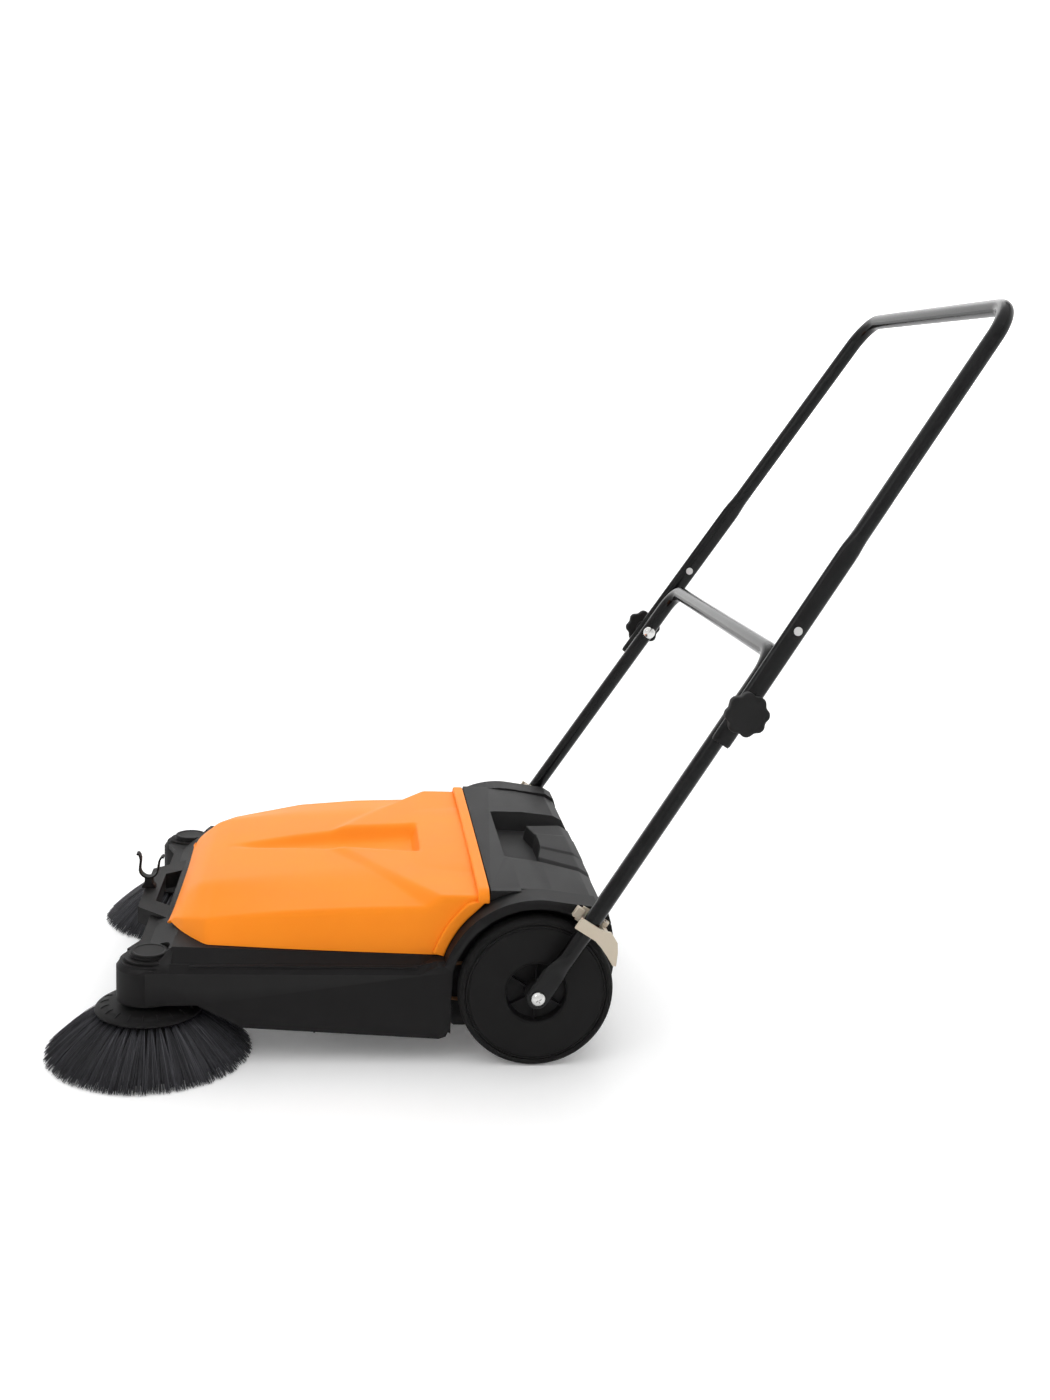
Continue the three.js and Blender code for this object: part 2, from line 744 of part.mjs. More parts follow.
// ---------------------------------------------------------------- wheels and their drive
function wheelParts() {
  const inner = WHEEL_OUT - WHEEL_W;
  const rim = WHEEL_R - TYRE_T - GAP;
  const wheel = turnX(
    [
      [BOLT_R + 3.3, inner + 12],
      [HUB_R, inner + 12],
      [HUB_R, WHEEL_OUT - 14],
      [RECESS_R + 4, WHEEL_OUT - 14],
      [RECESS_R + 4, WHEEL_OUT - 5],
      [rim - 9, WHEEL_OUT - 5],
      [rim - 4, inner + 3],
      [rim, inner + 3],
      [rim, WHEEL_OUT - 1],
      [RECESS_R, WHEEL_OUT - 1],
      [RECESS_R, WHEEL_OUT - 10],
      [HUB_R, WHEEL_OUT - 10],
      [HUB_R, WHEEL_OUT - 2],
      [BOLT_R + 3.3, WHEEL_OUT - 2],
    ],
    WHEEL_SIDES,
  );
  const rib = (angle) => box(WHEEL_OUT - 12, WHEEL_OUT - 4, -1, 1, HUB_R - 2, RECESS_R + 2).rotateX(angle);
  const ribs = Array.from({ length: 6 }, (_, i) => rib((i * Math.PI) / 3));
  const tyre = turnX(
    [
      [WHEEL_R - TYRE_T, inner],
      [WHEEL_R - 4, inner],
      [WHEEL_R, inner + 4],
      [WHEEL_R, WHEEL_OUT - 3],
      [WHEEL_R - 3, WHEEL_OUT],
      [WHEEL_R - TYRE_T, WHEEL_OUT],
    ],
    WHEEL_SIDES,
  );
  const groove = (x, half) => [
    [WHEEL_PULLEY_R + 2.5, x - half],
    [WHEEL_PULLEY_R - BELT_R - 0.6, x - half + 0.7],
    [WHEEL_PULLEY_R - BELT_R - 0.6, x + half - 0.7],
    [WHEEL_PULLEY_R + 2.5, x + half],
  ];
  const pulley = turnX(
    [
      [BOLT_R + 3.3, ROLLER_BELT_X - 4.2],
      [WHEEL_PULLEY_R + 2.5, ROLLER_BELT_X - 4.2],
      ...groove(ROLLER_BELT_X, 3),
      ...groove(BRUSH_BELT_X, 3.9),
      [WHEEL_PULLEY_R + 2.5, BRUSH_BELT_X + 4.2],
      [HUB_R, BRUSH_BELT_X + 4.2],
      [HUB_R, inner + 12 - GAP],
      [BOLT_R + 3.3, inner + 12 - GAP],
    ],
    16,
  );
  const bush = ringX(BOLT_R + GAP, BOLT_R + 3, CHEEK + GAP, WHEEL_OUT - 1, 20);
  const spadeOut = lowerHalf(0) - TUBE_R + SPADE_T;
  const bolt = turnX(
    [
      [0, CHEEK - 11],
      [BOLT_R, CHEEK - 11],
      [BOLT_R, spadeOut + GAP],
      [9.5, spadeOut + GAP],
      [9.5, spadeOut + 2],
      [8, spadeOut + 4.5],
      [4.5, spadeOut + 6],
      [0, spadeOut + 6.5],
    ],
    16,
  );
  const nut = hexNut(BOLT_R, 9, 6).rotateY(Math.PI / 2).translate(CHEEK - CHEEK_T - GAP - 6, 0, 0);
  return { wheel: join(wheel, ...ribs), tyre, pulley, bush, bolt, nut };
}

// A belt loop from the wheel pulley, forward to the brush pulley lying flat, and back.
function brushBelt() {
  const points = [];
  const wheelRun = WHEEL_PULLEY_R + GAP;
  const brushRun = BRUSH_PULLEY_R + GAP;
  const arc = 6;
  for (let i = 0; i <= arc; i++) {
    const angle = Math.PI / 2 - (Math.PI * i) / arc;
    const y = Math.cos(angle) * wheelRun;
    const z = WHEEL_R + Math.sin(angle) * wheelRun;
    points.push(new THREE.Vector3(BRUSH_BELT_X, y, z));
  }
  for (let i = 0; i <= arc; i++) {
    const angle = -(Math.PI * i) / arc;
    const x = BRUSH_X - Math.cos(angle) * brushRun;
    const y = BRUSH_Y + Math.sin(angle) * brushRun;
    points.push(new THREE.Vector3(x, y, BRUSH_PULLEY_Z));
  }
  return loop(points, BELT_R, 6);
}

function rollerBelt() {
  const points = [];
  const arc = 6;
  for (let i = 0; i <= arc; i++) {
    const angle = Math.PI / 2 - (Math.PI * i) / arc;
    const run = WHEEL_PULLEY_R + GAP;
    points.push(new THREE.Vector3(-ROLLER_BELT_X, Math.cos(angle) * run, WHEEL_R + Math.sin(angle) * run));
  }
  for (let i = 0; i <= arc; i++) {
    const angle = -Math.PI / 2 - (Math.PI * i) / arc;
    const run = ROLLER_PULLEY_R + GAP;
    const y = ROLLER_Y + Math.cos(angle) * run;
    const z = ROLLER_Z + Math.sin(angle) * run;
    points.push(new THREE.Vector3(-ROLLER_BELT_X, y, z));
  }
  return loop(points, ROLLER_BELT_R, 6);
}

// A closed ring of round section through the given points. Its sections are carried round without twisting, and the
// turn that is left when the ring closes is shared out along it.
function loop(points, radius, count) {
  const n = points.length;
  const ahead = points.map((p, i) => points[(i + 1) % n].clone().sub(points[(i + n - 1) % n]).normalize());
  const start = new THREE.Vector3(1, 0, 0).addScaledVector(ahead[0], -ahead[0].x).normalize();
  const carried = [start.clone()];
  for (let i = 1; i <= n; i++) {
    const turn = new THREE.Quaternion().setFromUnitVectors(ahead[i - 1], ahead[i % n]);
    carried.push(carried[i - 1].clone().applyQuaternion(turn));
  }
  const left = Math.atan2(start.clone().cross(carried[n]).dot(ahead[0]), start.dot(carried[n]));
  const step = (2 * Math.PI) / count;
  const shift = Math.round(left / step);
  const share = (left - shift * step) / n;
  const rings = points.map((p, i) => {
    const side = carried[i].clone().applyAxisAngle(ahead[i], -share * i);
    const up = ahead[i].clone().cross(side);
    return Array.from({ length: count }, (_, k) =>
      p
        .clone()
        .addScaledVector(side, radius * Math.cos(step * k))
        .addScaledVector(up, radius * Math.sin(step * k))
        .toArray(),
    );
  });
  const triangles = [];
  rings.forEach((ring, i) => {
    const next = rings[(i + 1) % n];
    const offset = i === n - 1 ? shift + count : 0;
    for (let k = 0; k < count; k++) {
      const m = (k + 1) % count;
      const nextK = next[(k + offset) % count];
      const nextM = next[(m + offset) % count];
      triangles.push(ring[k], ring[m], nextM, ring[k], nextM, nextK);
    }
  });
  const geometry = new THREE.BufferGeometry();
  geometry.setAttribute("position", new THREE.Float32BufferAttribute(triangles.flat(), 3));
  return volumeOf(geometry) < 0 ? flipped(geometry) : geometry;
}

// ---------------------------------------------------------------- side brushes
function sideBrushParts() {
  const at = (geometry) => geometry.translate(BRUSH_X, BRUSH_Y, 0);
  const spindle = at(
    turnZ([[0, 48], [SPINDLE_R, 48], [SPINDLE_R, 120], [0, 120]], 16),
  );
  const pulley = at(
    turnZ(
      [
        [SPINDLE_R + GAP, 101],
        [BRUSH_PULLEY_R + 3, 101],
        [BRUSH_PULLEY_R - BELT_R - 0.6, BRUSH_PULLEY_Z - 2.6],
        [BRUSH_PULLEY_R - BELT_R - 0.6, BRUSH_PULLEY_Z + 2.6],
        [BRUSH_PULLEY_R + 3, 112],
        [SPINDLE_R + GAP, 112],
      ],
      16,
    ),
  );
  const bush = at(
    turnZ(
      [
        [SPINDLE_R + GAP, 80],
        [SPINDLE_R + 3.7, 80],
        [SPINDLE_R + 3.7, 98.3],
        [12, 98.3],
        [12, 99.6],
        [SPINDLE_R + GAP, 99.6],
      ],
      12,
    ),
  );
  const plate = at(
    turnZ(
      [
        [SPINDLE_R + GAP, 56],
        [16, 56],
        [18, 60],
        [PLATE_R - 12, PLATE_Z + 3],
        [PLATE_R - 3, PLATE_Z],
        [PLATE_R, PLATE_Z + 1.5],
        [PLATE_R - 1, PLATE_Z + 5],
        [PLATE_R - 12, PLATE_Z + 9],
        [28, PLATE_Z + 11],
        [20, 73],
        [SPINDLE_R + GAP, 73],
      ],
      20,
    ),
  );
  const bristles = at(
    turnZ(
      [
        [44, PLATE_Z - 0.5],
        [PLATE_R - 4, PLATE_Z - 1],
        [BRUSH_R - 2, 4],
        [BRUSH_R, 0],
        [BRUSH_R - 16, 0],
      ],
      28,
    ),
  );
  const nut = at(hexNut(SPINDLE_R, 9, 6.4).translate(0, 0, 49));
  const cap = at(
    turnZ(
      [
        [0, BOSS_TOP + GAP],
        [CAP_R, BOSS_TOP + GAP],
        [CAP_R, BOSS_TOP + CAP_T - 1.5],
        [CAP_R - 1.5, BOSS_TOP + CAP_T],
        [0, BOSS_TOP + CAP_T],
      ],
      24,
    ),
  );
  return { spindle, pulley, bush, plate, bristles, nut, cap };
}

// ---------------------------------------------------------------- main brush roller
function rollerParts() {
  const at = (geometry) => geometry.translate(0, ROLLER_Y, ROLLER_Z);
  const shaft = at(rodX(ROLLER_SHAFT_R, -ROLLER_BELT_X - 3, CHAMBER_HALF + 5, 12));
  const core = at(ringX(ROLLER_SHAFT_R + GAP, ROLLER_CORE_R, -ROLLER_HALF, ROLLER_HALF, 24));
  const waves = 10;
  const star = new THREE.Shape();
  for (let i = 0; i < waves * 2; i++) {
    const angle = (Math.PI * i) / waves;
    const radius = i % 2 ? ROLLER_R : ROLLER_R - 5;
    star[i ? "lineTo" : "moveTo"](Math.cos(angle) * radius, Math.sin(angle) * radius);
  }
  const bore = new THREE.Path();
  bore.absarc(0, 0, ROLLER_CORE_R + GAP, 0, 2 * Math.PI, true);
  star.holes.push(bore);
  const bristles = at(slabX(star, -ROLLER_HALF + 4, ROLLER_HALF - 4, 12));
  const bearing = at(ringX(ROLLER_SHAFT_R + GAP, 13 - GAP, CHAMBER_HALF - WALL, CHAMBER_HALF + 3, 24));
  const pulley = at(
    turnX(
      [
        [ROLLER_SHAFT_R + GAP, -ROLLER_BELT_X - 2.8],
        [ROLLER_PULLEY_R + 2.5, -ROLLER_BELT_X - 2.8],
        [ROLLER_PULLEY_R - 2.4, -ROLLER_BELT_X - 1.2],
        [ROLLER_PULLEY_R - 2.4, -ROLLER_BELT_X + 1.2],
        [ROLLER_PULLEY_R + 1, -ROLLER_BELT_X + 2],
        [ROLLER_SHAFT_R + GAP, -ROLLER_BELT_X + 2],
      ],
      24,
    ),
  );
  return { shaft, core, bristles, bearing, pulley };
}

// ---------------------------------------------------------------- handle
// Moves each vertex: scales its distance from the leg's centre line sideways and fore-and-aft.
function reshapeLegs(geometry, halfAt, factors) {
  const p = geometry.attributes.position;
  const v = new THREE.Vector3();
  for (let i = 0; i < p.count; i++) {
    v.fromBufferAttribute(p, i);
    const side = Math.sign(v.x);
    const rel = v.clone().sub(new THREE.Vector3(0, 0, WHEEL_R));
    const t = rel.dot(LEG_DIR);
    const f = rel.dot(LEG_FRONT);
    const { across, along, shift } = factors(t);
    if (across === 1 && along === 1 && !shift) continue;
    const dx = (Math.abs(v.x) - halfAt(t)) * across + shift;
    p.setXYZ(i, ...onLeg(side * (halfAt(t) + dx), t, f * along).toArray());
  }
  return geometry;
}

const blend = (t, from, to) => THREE.MathUtils.smoothstep(t, Math.min(from, to), Math.max(from, to));

function withStations(path, distances, halfAt) {
  const extra = distances.flatMap((t) => [1, -1].map((side) => ({ side, t })));
  const along = (point) => point.clone().sub(onLeg(0, 0)).dot(LEG_DIR);
  for (const { side, t } of extra) {
    const point = onLeg(side * halfAt(t), t);
    const tangent = onLeg(side * halfAt(t + 1), t + 1).sub(point).normalize().multiplyScalar(side);
    const k = path.points.findIndex((q, i) => {
      if (i === 0) return false;
      if (side > 0) return along(q) > t;
      return i > path.points.length / 2 && along(path.points[i - 1]) > t && along(q) < t;
    });
    path.points.splice(k, 0, point);
    path.tangents.splice(k, 0, tangent);
  }
  return path;
}

// The line of a U-shaped tube whose legs run from one distance along the leg to another.
function frameLine(halfAt, from, to, bend, stepsPerBend) {
  return bentPath(
    [onLeg(halfAt(from), from), onLeg(halfAt(to), to), onLeg(-halfAt(to), to), onLeg(-halfAt(from), from)],
    [bend, bend],
    stepsPerBend,
  );
}

function lowerHandle() {
  const path = frameLine(lowerHalf, 0, CROSSBAR_AT, LOWER_BEND, 4);
  withStations(path, [66, 48, 34, 20, 8], lowerHalf);
  const bent = tube(path, TUBE_R, 10);
  const legs = reshapeLegs(bent, lowerHalf, (t) => {
    const flat = 1 - blend(t, 30, 68);
    const thin = 1 - flat * (1 - SPADE_T / (2 * TUBE_R));
    return { across: thin, along: 1 + 0.32 * flat, shift: -flat * (TUBE_R - SPADE_T / 2) };
  });
  const spadeMid = lowerHalf(0) - TUBE_R + SPADE_T / 2;
  const end = rodX(14.6, spadeMid - SPADE_T / 2, spadeMid + SPADE_T / 2, 20).translate(0, 0, WHEEL_R);
  const hole = (radius, t, x0, x1) => rodX(radius, x0, x1, 12).translate(0, onLeg(0, t).y, onLeg(0, t).z);
  const reach = lowerHalf(0) + TUBE_R + 10;
  return cut(
    join(legs, end, mirrored(end)),
    tube(frameLine(lowerHalf, HOLLOW_FROM, CROSSBAR_AT, LOWER_BEND, 4), TUBE_R - TUBE_WALL, 6),
    hole(BOLT_R + 0.5, 0, -reach, reach),
    hole(2, 24, -reach, reach),
    hole(KNOB_BOLT_R + GAP, KNOB_AT, -reach, reach),
  );
}

function upperHandle() {
  // The tube is round at the grip and pressed to an oval where it lies against the lower legs.
  const shaped = (from, radius, sides) => {
    const path = frameLine(upperHalf, from, GRIP_AT, UPPER_BEND, 5);
    withStations(path, [OVAL_END + 30, OVAL_END], upperHalf);
    return reshapeLegs(tube(path, radius, sides), upperHalf, (t) => {
      const flat = 1 - blend(t, OVAL_END, OVAL_END + 28);
      return {
        across: 1 - flat * (1 - OVAL_T / (2 * TUBE_R)),
        along: 1 + flat * (OVAL_W / (2 * TUBE_R) - 1),
        shift: 0,
      };
    });
  };
  const reach = upperHalf(UPPER_END) + TUBE_R + 10;
  const hole = (t) => rodX(KNOB_BOLT_R + GAP, -reach, reach, 12).translate(0, onLeg(0, t).y, onLeg(0, t).z);
  const bore = shaped(UPPER_END - 2, TUBE_R - TUBE_WALL, 6);
  return cut(shaped(UPPER_END, TUBE_R, 10), bore, hole(KNOB_AT), hole(PLUG_AT));
}

function handleFittings() {
  const seat = (geometry, t) => geometry.translate(0, onLeg(0, t).y, onLeg(0, t).z);
  const outer = upperHalf(KNOB_AT) + OVAL_T / 2;
  const star = new THREE.Shape();
  const lobes = 8;
  for (let i = 0; i < lobes * 2; i++) {
    const angle = (2 * Math.PI * i) / (lobes * 2);
    const radius = KNOB_R - 2.2 * (1 - Math.cos(lobes * angle)) * 0.5;
    star[i ? "lineTo" : "moveTo"](Math.cos(angle) * radius, Math.sin(angle) * radius);
  }
  const socket = new THREE.Path();
  socket.absarc(0, 0, KNOB_BOLT_R + GAP, 0, 2 * Math.PI, true);
  star.holes.push(socket);
  const knob = seat(
    join(
      slabX(star, outer + 9, outer + KNOB_T - 2, 8),
      ringX(KNOB_BOLT_R + GAP, 13, outer + RUNNING + 0.4, outer + 9.5, 16),
      turnX(
        [
          [0, outer + KNOB_T - 3],
          [24, outer + KNOB_T - 3],
          [22, outer + KNOB_T],
          [0, outer + KNOB_T],
        ],
        16,
      ),
    ),
    KNOB_AT,
  );
  const inner = lowerHalf(KNOB_AT) - TUBE_R;
  const bolt = seat(
    turnX(
      [
        [0, inner - 7],
        [7, inner - 6.6],
        [9.5, inner - 4.4],
        [9.5, inner - RUNNING],
        [4, inner - RUNNING],
        [4, outer + KNOB_T - 4],
        [0, outer + KNOB_T - 4],
      ],
      16,
    ),
    KNOB_AT,
  );
  const half = upperHalf(PLUG_AT);
  const face = OVAL_T / 2;
  const plug = seat(
    turnX(
      [
        [0, half - face - 2.1],
        [5.5, half - face - 1.7],
        [5.5, half - face - 0.7],
        [4, half - face - 0.7],
        [4, half + face + 0.7],
        [5.5, half + face + 0.7],
        [5.5, half + face + 1.7],
        [0, half + face + 2.1],
      ],
      16,
    ),
    PLUG_AT,
  );
  return { knob, bolt, plug };
}

// ---------------------------------------------------------------- latches
// Built along the leg: x to the side, y towards the leg's front, z the distance from the axle.
function latchParts() {
  const tubeX = lowerHalf(LATCH_AT);
  const pinX = tubeX - LATCH_PIN_IN;
  const outerFace = tubeX + TUBE_R + 1.5; // inside of the bar that lies over the leg
  const inboard = BODY_HALF + GAP;
  const armShape = outline([
    [pinX - 3, -LATCH_BACK - 4],
    [pinX + 4, -LATCH_BACK - 5],
    [outerFace + LATCH_T, -LATCH_BACK - 5],
    [outerFace + LATCH_T, -LATCH_BACK + 8],
    [outerFace, -LATCH_BACK + 8],
    [outerFace - 3, -LATCH_BACK + 2],
    [pinX + 4, -LATCH_BACK + 4],
    [pinX - 3, -LATCH_BACK + 3.5],
    [pinX - 5, -LATCH_BACK],
  ]);
  const arm = slabZ(armShape, LATCH_AT - 5, LATCH_AT + 5);
  const bar = box(outerFace, outerFace + LATCH_T, -LATCH_BACK + 3, 19, LATCH_AT - 11, LATCH_AT + 4.5);
  const fin = extrude(
    outline([
      [-12, LATCH_AT - 11],
      [-12, LATCH_AT + 4.5],
      [-24, LATCH_AT + 8.5],
      [-38, LATCH_AT + 1.5],
      [-46, LATCH_AT - 9.5],
      [-54, LATCH_AT - 24.5],
      [-50, LATCH_AT - 26.5],
      [-36, LATCH_AT - 19.5],
      [-24, LATCH_AT - 14.5],
    ]),
    LATCH_T,
  )
    .applyMatrix4(ALONG_X)
    .translate(outerFace, 0, 0);
  const hole = rodZ(PIN_R + 0.5, LATCH_AT - 20, LATCH_AT + 20, 12).translate(pinX, -LATCH_BACK, 0);
  const latch = alongLeg(cut(join(arm, bar, fin), hole));
  const knuckle = (from, to) =>
    slabZ(
      outline([
        [inboard, -LATCH_BACK - 8],
        [BODY_HALF + 8, -LATCH_BACK - 7],
        [pinX + 5.5, -LATCH_BACK - 3],
        [pinX + 5.5, -LATCH_BACK + 3],
        [BODY_HALF + 8, -LATCH_BACK + 6],
        [inboard, -LATCH_BACK + 6],
      ]),
      from,
      to,
    );
  const plate = box(inboard, BODY_HALF + 4, -LATCH_BACK - 7, 14, LATCH_AT - 9.5, LATCH_AT + 11);
  const pad = box(inboard, BODY_HALF + 10, 11, 21, LATCH_AT - 6, LATCH_AT + 8);
  const lowKnuckle = knuckle(LATCH_AT - 9.5, LATCH_AT - 5.5);
  const highKnuckle = knuckle(LATCH_AT + 5.5, LATCH_AT + 11);
  const base = alongLeg(cut(join(plate, pad, lowKnuckle, highKnuckle), hole));
  const pin = alongLeg(rodZ(PIN_R, LATCH_AT - 11, LATCH_AT + 12, 12).translate(pinX, -LATCH_BACK, 0));
  return { latch, base, pin };
}

// ---------------------------------------------------------------- front clip, flap, lip and screws
function snapClip() {
  const inside = TUBE_R + 0.6;
  const lean = Math.asin((CLIP_Z - WHEEL_R) / CROSSBAR_AT); // the arms lie along the crossbar's path
  const arm = [
    [inside, 0],
    [inside, 12],
    [inside + 2.5, 17],
    [inside + 6, 19.5],
    [inside + 7.4, 17.2],
    [inside + 5, 15],
    [inside + CLIP_T, 11],
    [inside + CLIP_T, 0],
  ];
  const half = (radius, from, to) =>
    Array.from({ length: 7 }, (_, i) => {
      const angle = from + ((to - from) * (i + 1)) / 8;
      return [Math.cos(angle) * radius, Math.sin(angle) * radius];
    });
  const points = [
    ...arm,
    ...half(inside + CLIP_T, 0, -Math.PI),
    ...arm
      .slice()
      .reverse()
      .map(([u, w]) => [-u, w]),
    ...half(inside, -Math.PI, 0),
  ].map(([u, w]) => [
    CLIP_Y + u * Math.cos(lean) + w * Math.sin(lean),
    CLIP_Z - u * Math.sin(lean) + w * Math.cos(lean),
  ]);
  const fork = slabX(outline(points), -CLIP_W / 2, CLIP_W / 2);
  const foot = box(-CLIP_W / 2, CLIP_W / 2, CLIP_Y - 9, CLIP_Y + 9, BAR_TOP + GAP, CLIP_Z - inside - 1);
  const hole = rodZ(2, BAR_TOP, CLIP_Z, 10).translate(0, CLIP_Y, 0);
  const head = rodZ(4.2, CLIP_Z - inside - 5, CLIP_Z, 12).translate(0, CLIP_Y, 0);
  return cut(join(fork, foot), hole, head);
}

const screw = (x, y, z0, headZ, radius, headR) =>
  turnZ(
    [
      [0, z0],
      [radius, z0],
      [radius, headZ],
      [headR, headZ],
      [headR, headZ + 2],
      [0, headZ + 2],
    ],
    10,
  ).translate(x, y, 0);

// ---------------------------------------------------------------- assembly
add("chassis", chassis(), BLACK);
add("hood", hood(), ORANGE);
add("hopper", hopper(), TOP_BLACK);
const flap = (front, low, high) => box(-FLAP_HALF, FLAP_HALF, front - FLAP_T - GAP, front - GAP, low, high);
add("rear_flap", flap(TRAY_FRONT, 10, HOPPER_LOW - 2 * GAP), RUBBER);
add("front_flap", flap(CHAMBER_FRONT, 8, 64), RUBBER);

const wheelSet = wheelParts();
addPair("wheel", wheelSet.wheel.translate(0, 0, WHEEL_R), BLACK);
addPair("tyre", wheelSet.tyre.translate(0, 0, WHEEL_R), RUBBER);
addPair("wheel_pulley", wheelSet.pulley.translate(0, 0, WHEEL_R), NYLON);
addPair("wheel_bush", wheelSet.bush.translate(0, 0, WHEEL_R), NYLON);
addPair("axle_bolt", wheelSet.bolt.translate(0, 0, WHEEL_R), STEEL);
addPair("axle_nut", wheelSet.nut.translate(0, 0, WHEEL_R), STEEL);

const brushSet = sideBrushParts();
addPair("brush_spindle", brushSet.spindle, STEEL);
addPair("brush_pulley", brushSet.pulley, NYLON);
addPair("spindle_bush", brushSet.bush, NYLON);
addPair("brush_plate", brushSet.plate, BLACK);
addPair("bristles", brushSet.bristles, BRISTLE);
addPair("brush_nut", brushSet.nut, STEEL);
addPair("boss_cap", brushSet.cap, BLACK);
addPair("brush_belt", brushBelt(), BELT);

const rollerSet = rollerParts();
add("roller_shaft", rollerSet.shaft, STEEL);
add("roller_core", rollerSet.core, BLACK);
add("roller_bristles", rollerSet.bristles, BRISTLE);
addPair("roller_bearing", rollerSet.bearing, NYLON);
add("roller_pulley", rollerSet.pulley, NYLON);
add("roller_belt", rollerBelt(), BELT);

add("lower_handle", lowerHandle(), TUBE);
add("upper_handle", upperHandle(), TUBE);
const fittings = handleFittings();
addPair("knob", fittings.knob, BLACK);
addPair("knob_bolt", fittings.bolt, STEEL);
addPair("leg_plug", fittings.plug, NYLON);

const latchSet = latchParts();
addPair("latch_base", latchSet.base, BEIGE);
addPair("latch", latchSet.latch, BEIGE);
addPair("latch_pin", latchSet.pin, STEEL);

add("snap_clip", snapClip(), BLACK);
add("clip_screw", screw(0, CLIP_Y, BAR_TOP - 12, CLIP_Z - TUBE_R - 4.5, 1.5, 3.8), STEEL);
HOOD_SCREWS.forEach(([x, y], i) =>
  add(
    `hood_screw_${i + 1}`,
    turnZ(
      [
        [0, 0],
        [3.8, 0],
        [3.8, 2],
        [1.7, 2],
        [1.7, 14],
        [0, 14],
      ],
      10,
    ).translate(x, y, deckZ(y) - WALL - 4),
    STEEL,
  ),
);

const bounds = new THREE.Box3().setFromObject(assembly);
assembly.position.y = -(bounds.min.y + bounds.max.y) / 2;
const part = new THREE.Group();
part.add(assembly);

export default part;
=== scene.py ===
"""Walk-behind push floor sweeper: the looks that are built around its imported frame.

Sizes in the classes are in millimetres, measured with the wheel axle at y = 0, and the bench turns them into
the frame's metres. The front of the sweeper faces -Y and its left side is +X.
"""

from __future__ import annotations

import json
import logging
import math
from dataclasses import dataclass, field
from enum import Enum
from typing import Callable, Optional, Sequence

import bpy
import numpy as np
from mathutils import Matrix, Vector

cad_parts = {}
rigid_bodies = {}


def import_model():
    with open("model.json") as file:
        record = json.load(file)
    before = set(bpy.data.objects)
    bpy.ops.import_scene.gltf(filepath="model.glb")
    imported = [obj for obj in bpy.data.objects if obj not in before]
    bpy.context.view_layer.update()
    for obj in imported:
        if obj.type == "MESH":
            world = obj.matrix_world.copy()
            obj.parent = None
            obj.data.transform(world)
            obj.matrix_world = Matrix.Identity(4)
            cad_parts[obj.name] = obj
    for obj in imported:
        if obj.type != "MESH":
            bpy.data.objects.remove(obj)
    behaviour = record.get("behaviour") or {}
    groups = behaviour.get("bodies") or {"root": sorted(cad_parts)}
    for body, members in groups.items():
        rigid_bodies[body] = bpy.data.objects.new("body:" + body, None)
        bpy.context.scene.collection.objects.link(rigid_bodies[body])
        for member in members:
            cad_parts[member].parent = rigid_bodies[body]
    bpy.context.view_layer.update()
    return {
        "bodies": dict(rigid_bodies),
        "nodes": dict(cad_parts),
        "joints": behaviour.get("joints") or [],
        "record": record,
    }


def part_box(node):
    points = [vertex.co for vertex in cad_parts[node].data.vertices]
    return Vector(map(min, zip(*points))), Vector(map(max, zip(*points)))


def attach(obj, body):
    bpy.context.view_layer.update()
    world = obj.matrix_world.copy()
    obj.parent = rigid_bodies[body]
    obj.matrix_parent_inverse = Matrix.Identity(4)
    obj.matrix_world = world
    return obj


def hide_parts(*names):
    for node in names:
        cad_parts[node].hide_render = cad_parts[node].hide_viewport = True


logging.basicConfig(level=logging.INFO, format="%(levelname)s %(message)s")
log = logging.getLogger("sweeper")

MM = 0.001
FULL_TURN = 2 * math.pi
SAME_POINT = 1e-6
SAME_NODE_POINT = 2e-5
FLAT_ANGLE = 1.2
COAT_ROUGHNESS = 0.08
SUBSURFACE_DEPTH = 0.002
GRAIN_HEIGHT = 0.0004
WORN_POINTINESS = (0.52, 0.62)
CLOUD_SHARES = (0.3, 0.7)
Point = tuple[float, float, float]
Flat = tuple[float, float]
Piece = bpy.types.Object
Tree = bpy.types.NodeTree
Socket = bpy.types.NodeSocket
Station = tuple[Vector, Vector]


class Side(Enum):
    """The two sides of the machine, with the sign of x on each."""

    LEFT = 1
    RIGHT = -1

    @property
    def word(self) -> str:
        """The side's name as the frame's nodes spell it."""
        return self.name.lower()


class Axis(Enum):
    """The line that a turned piece is turned about."""

    X = "x"
    Z = "z"


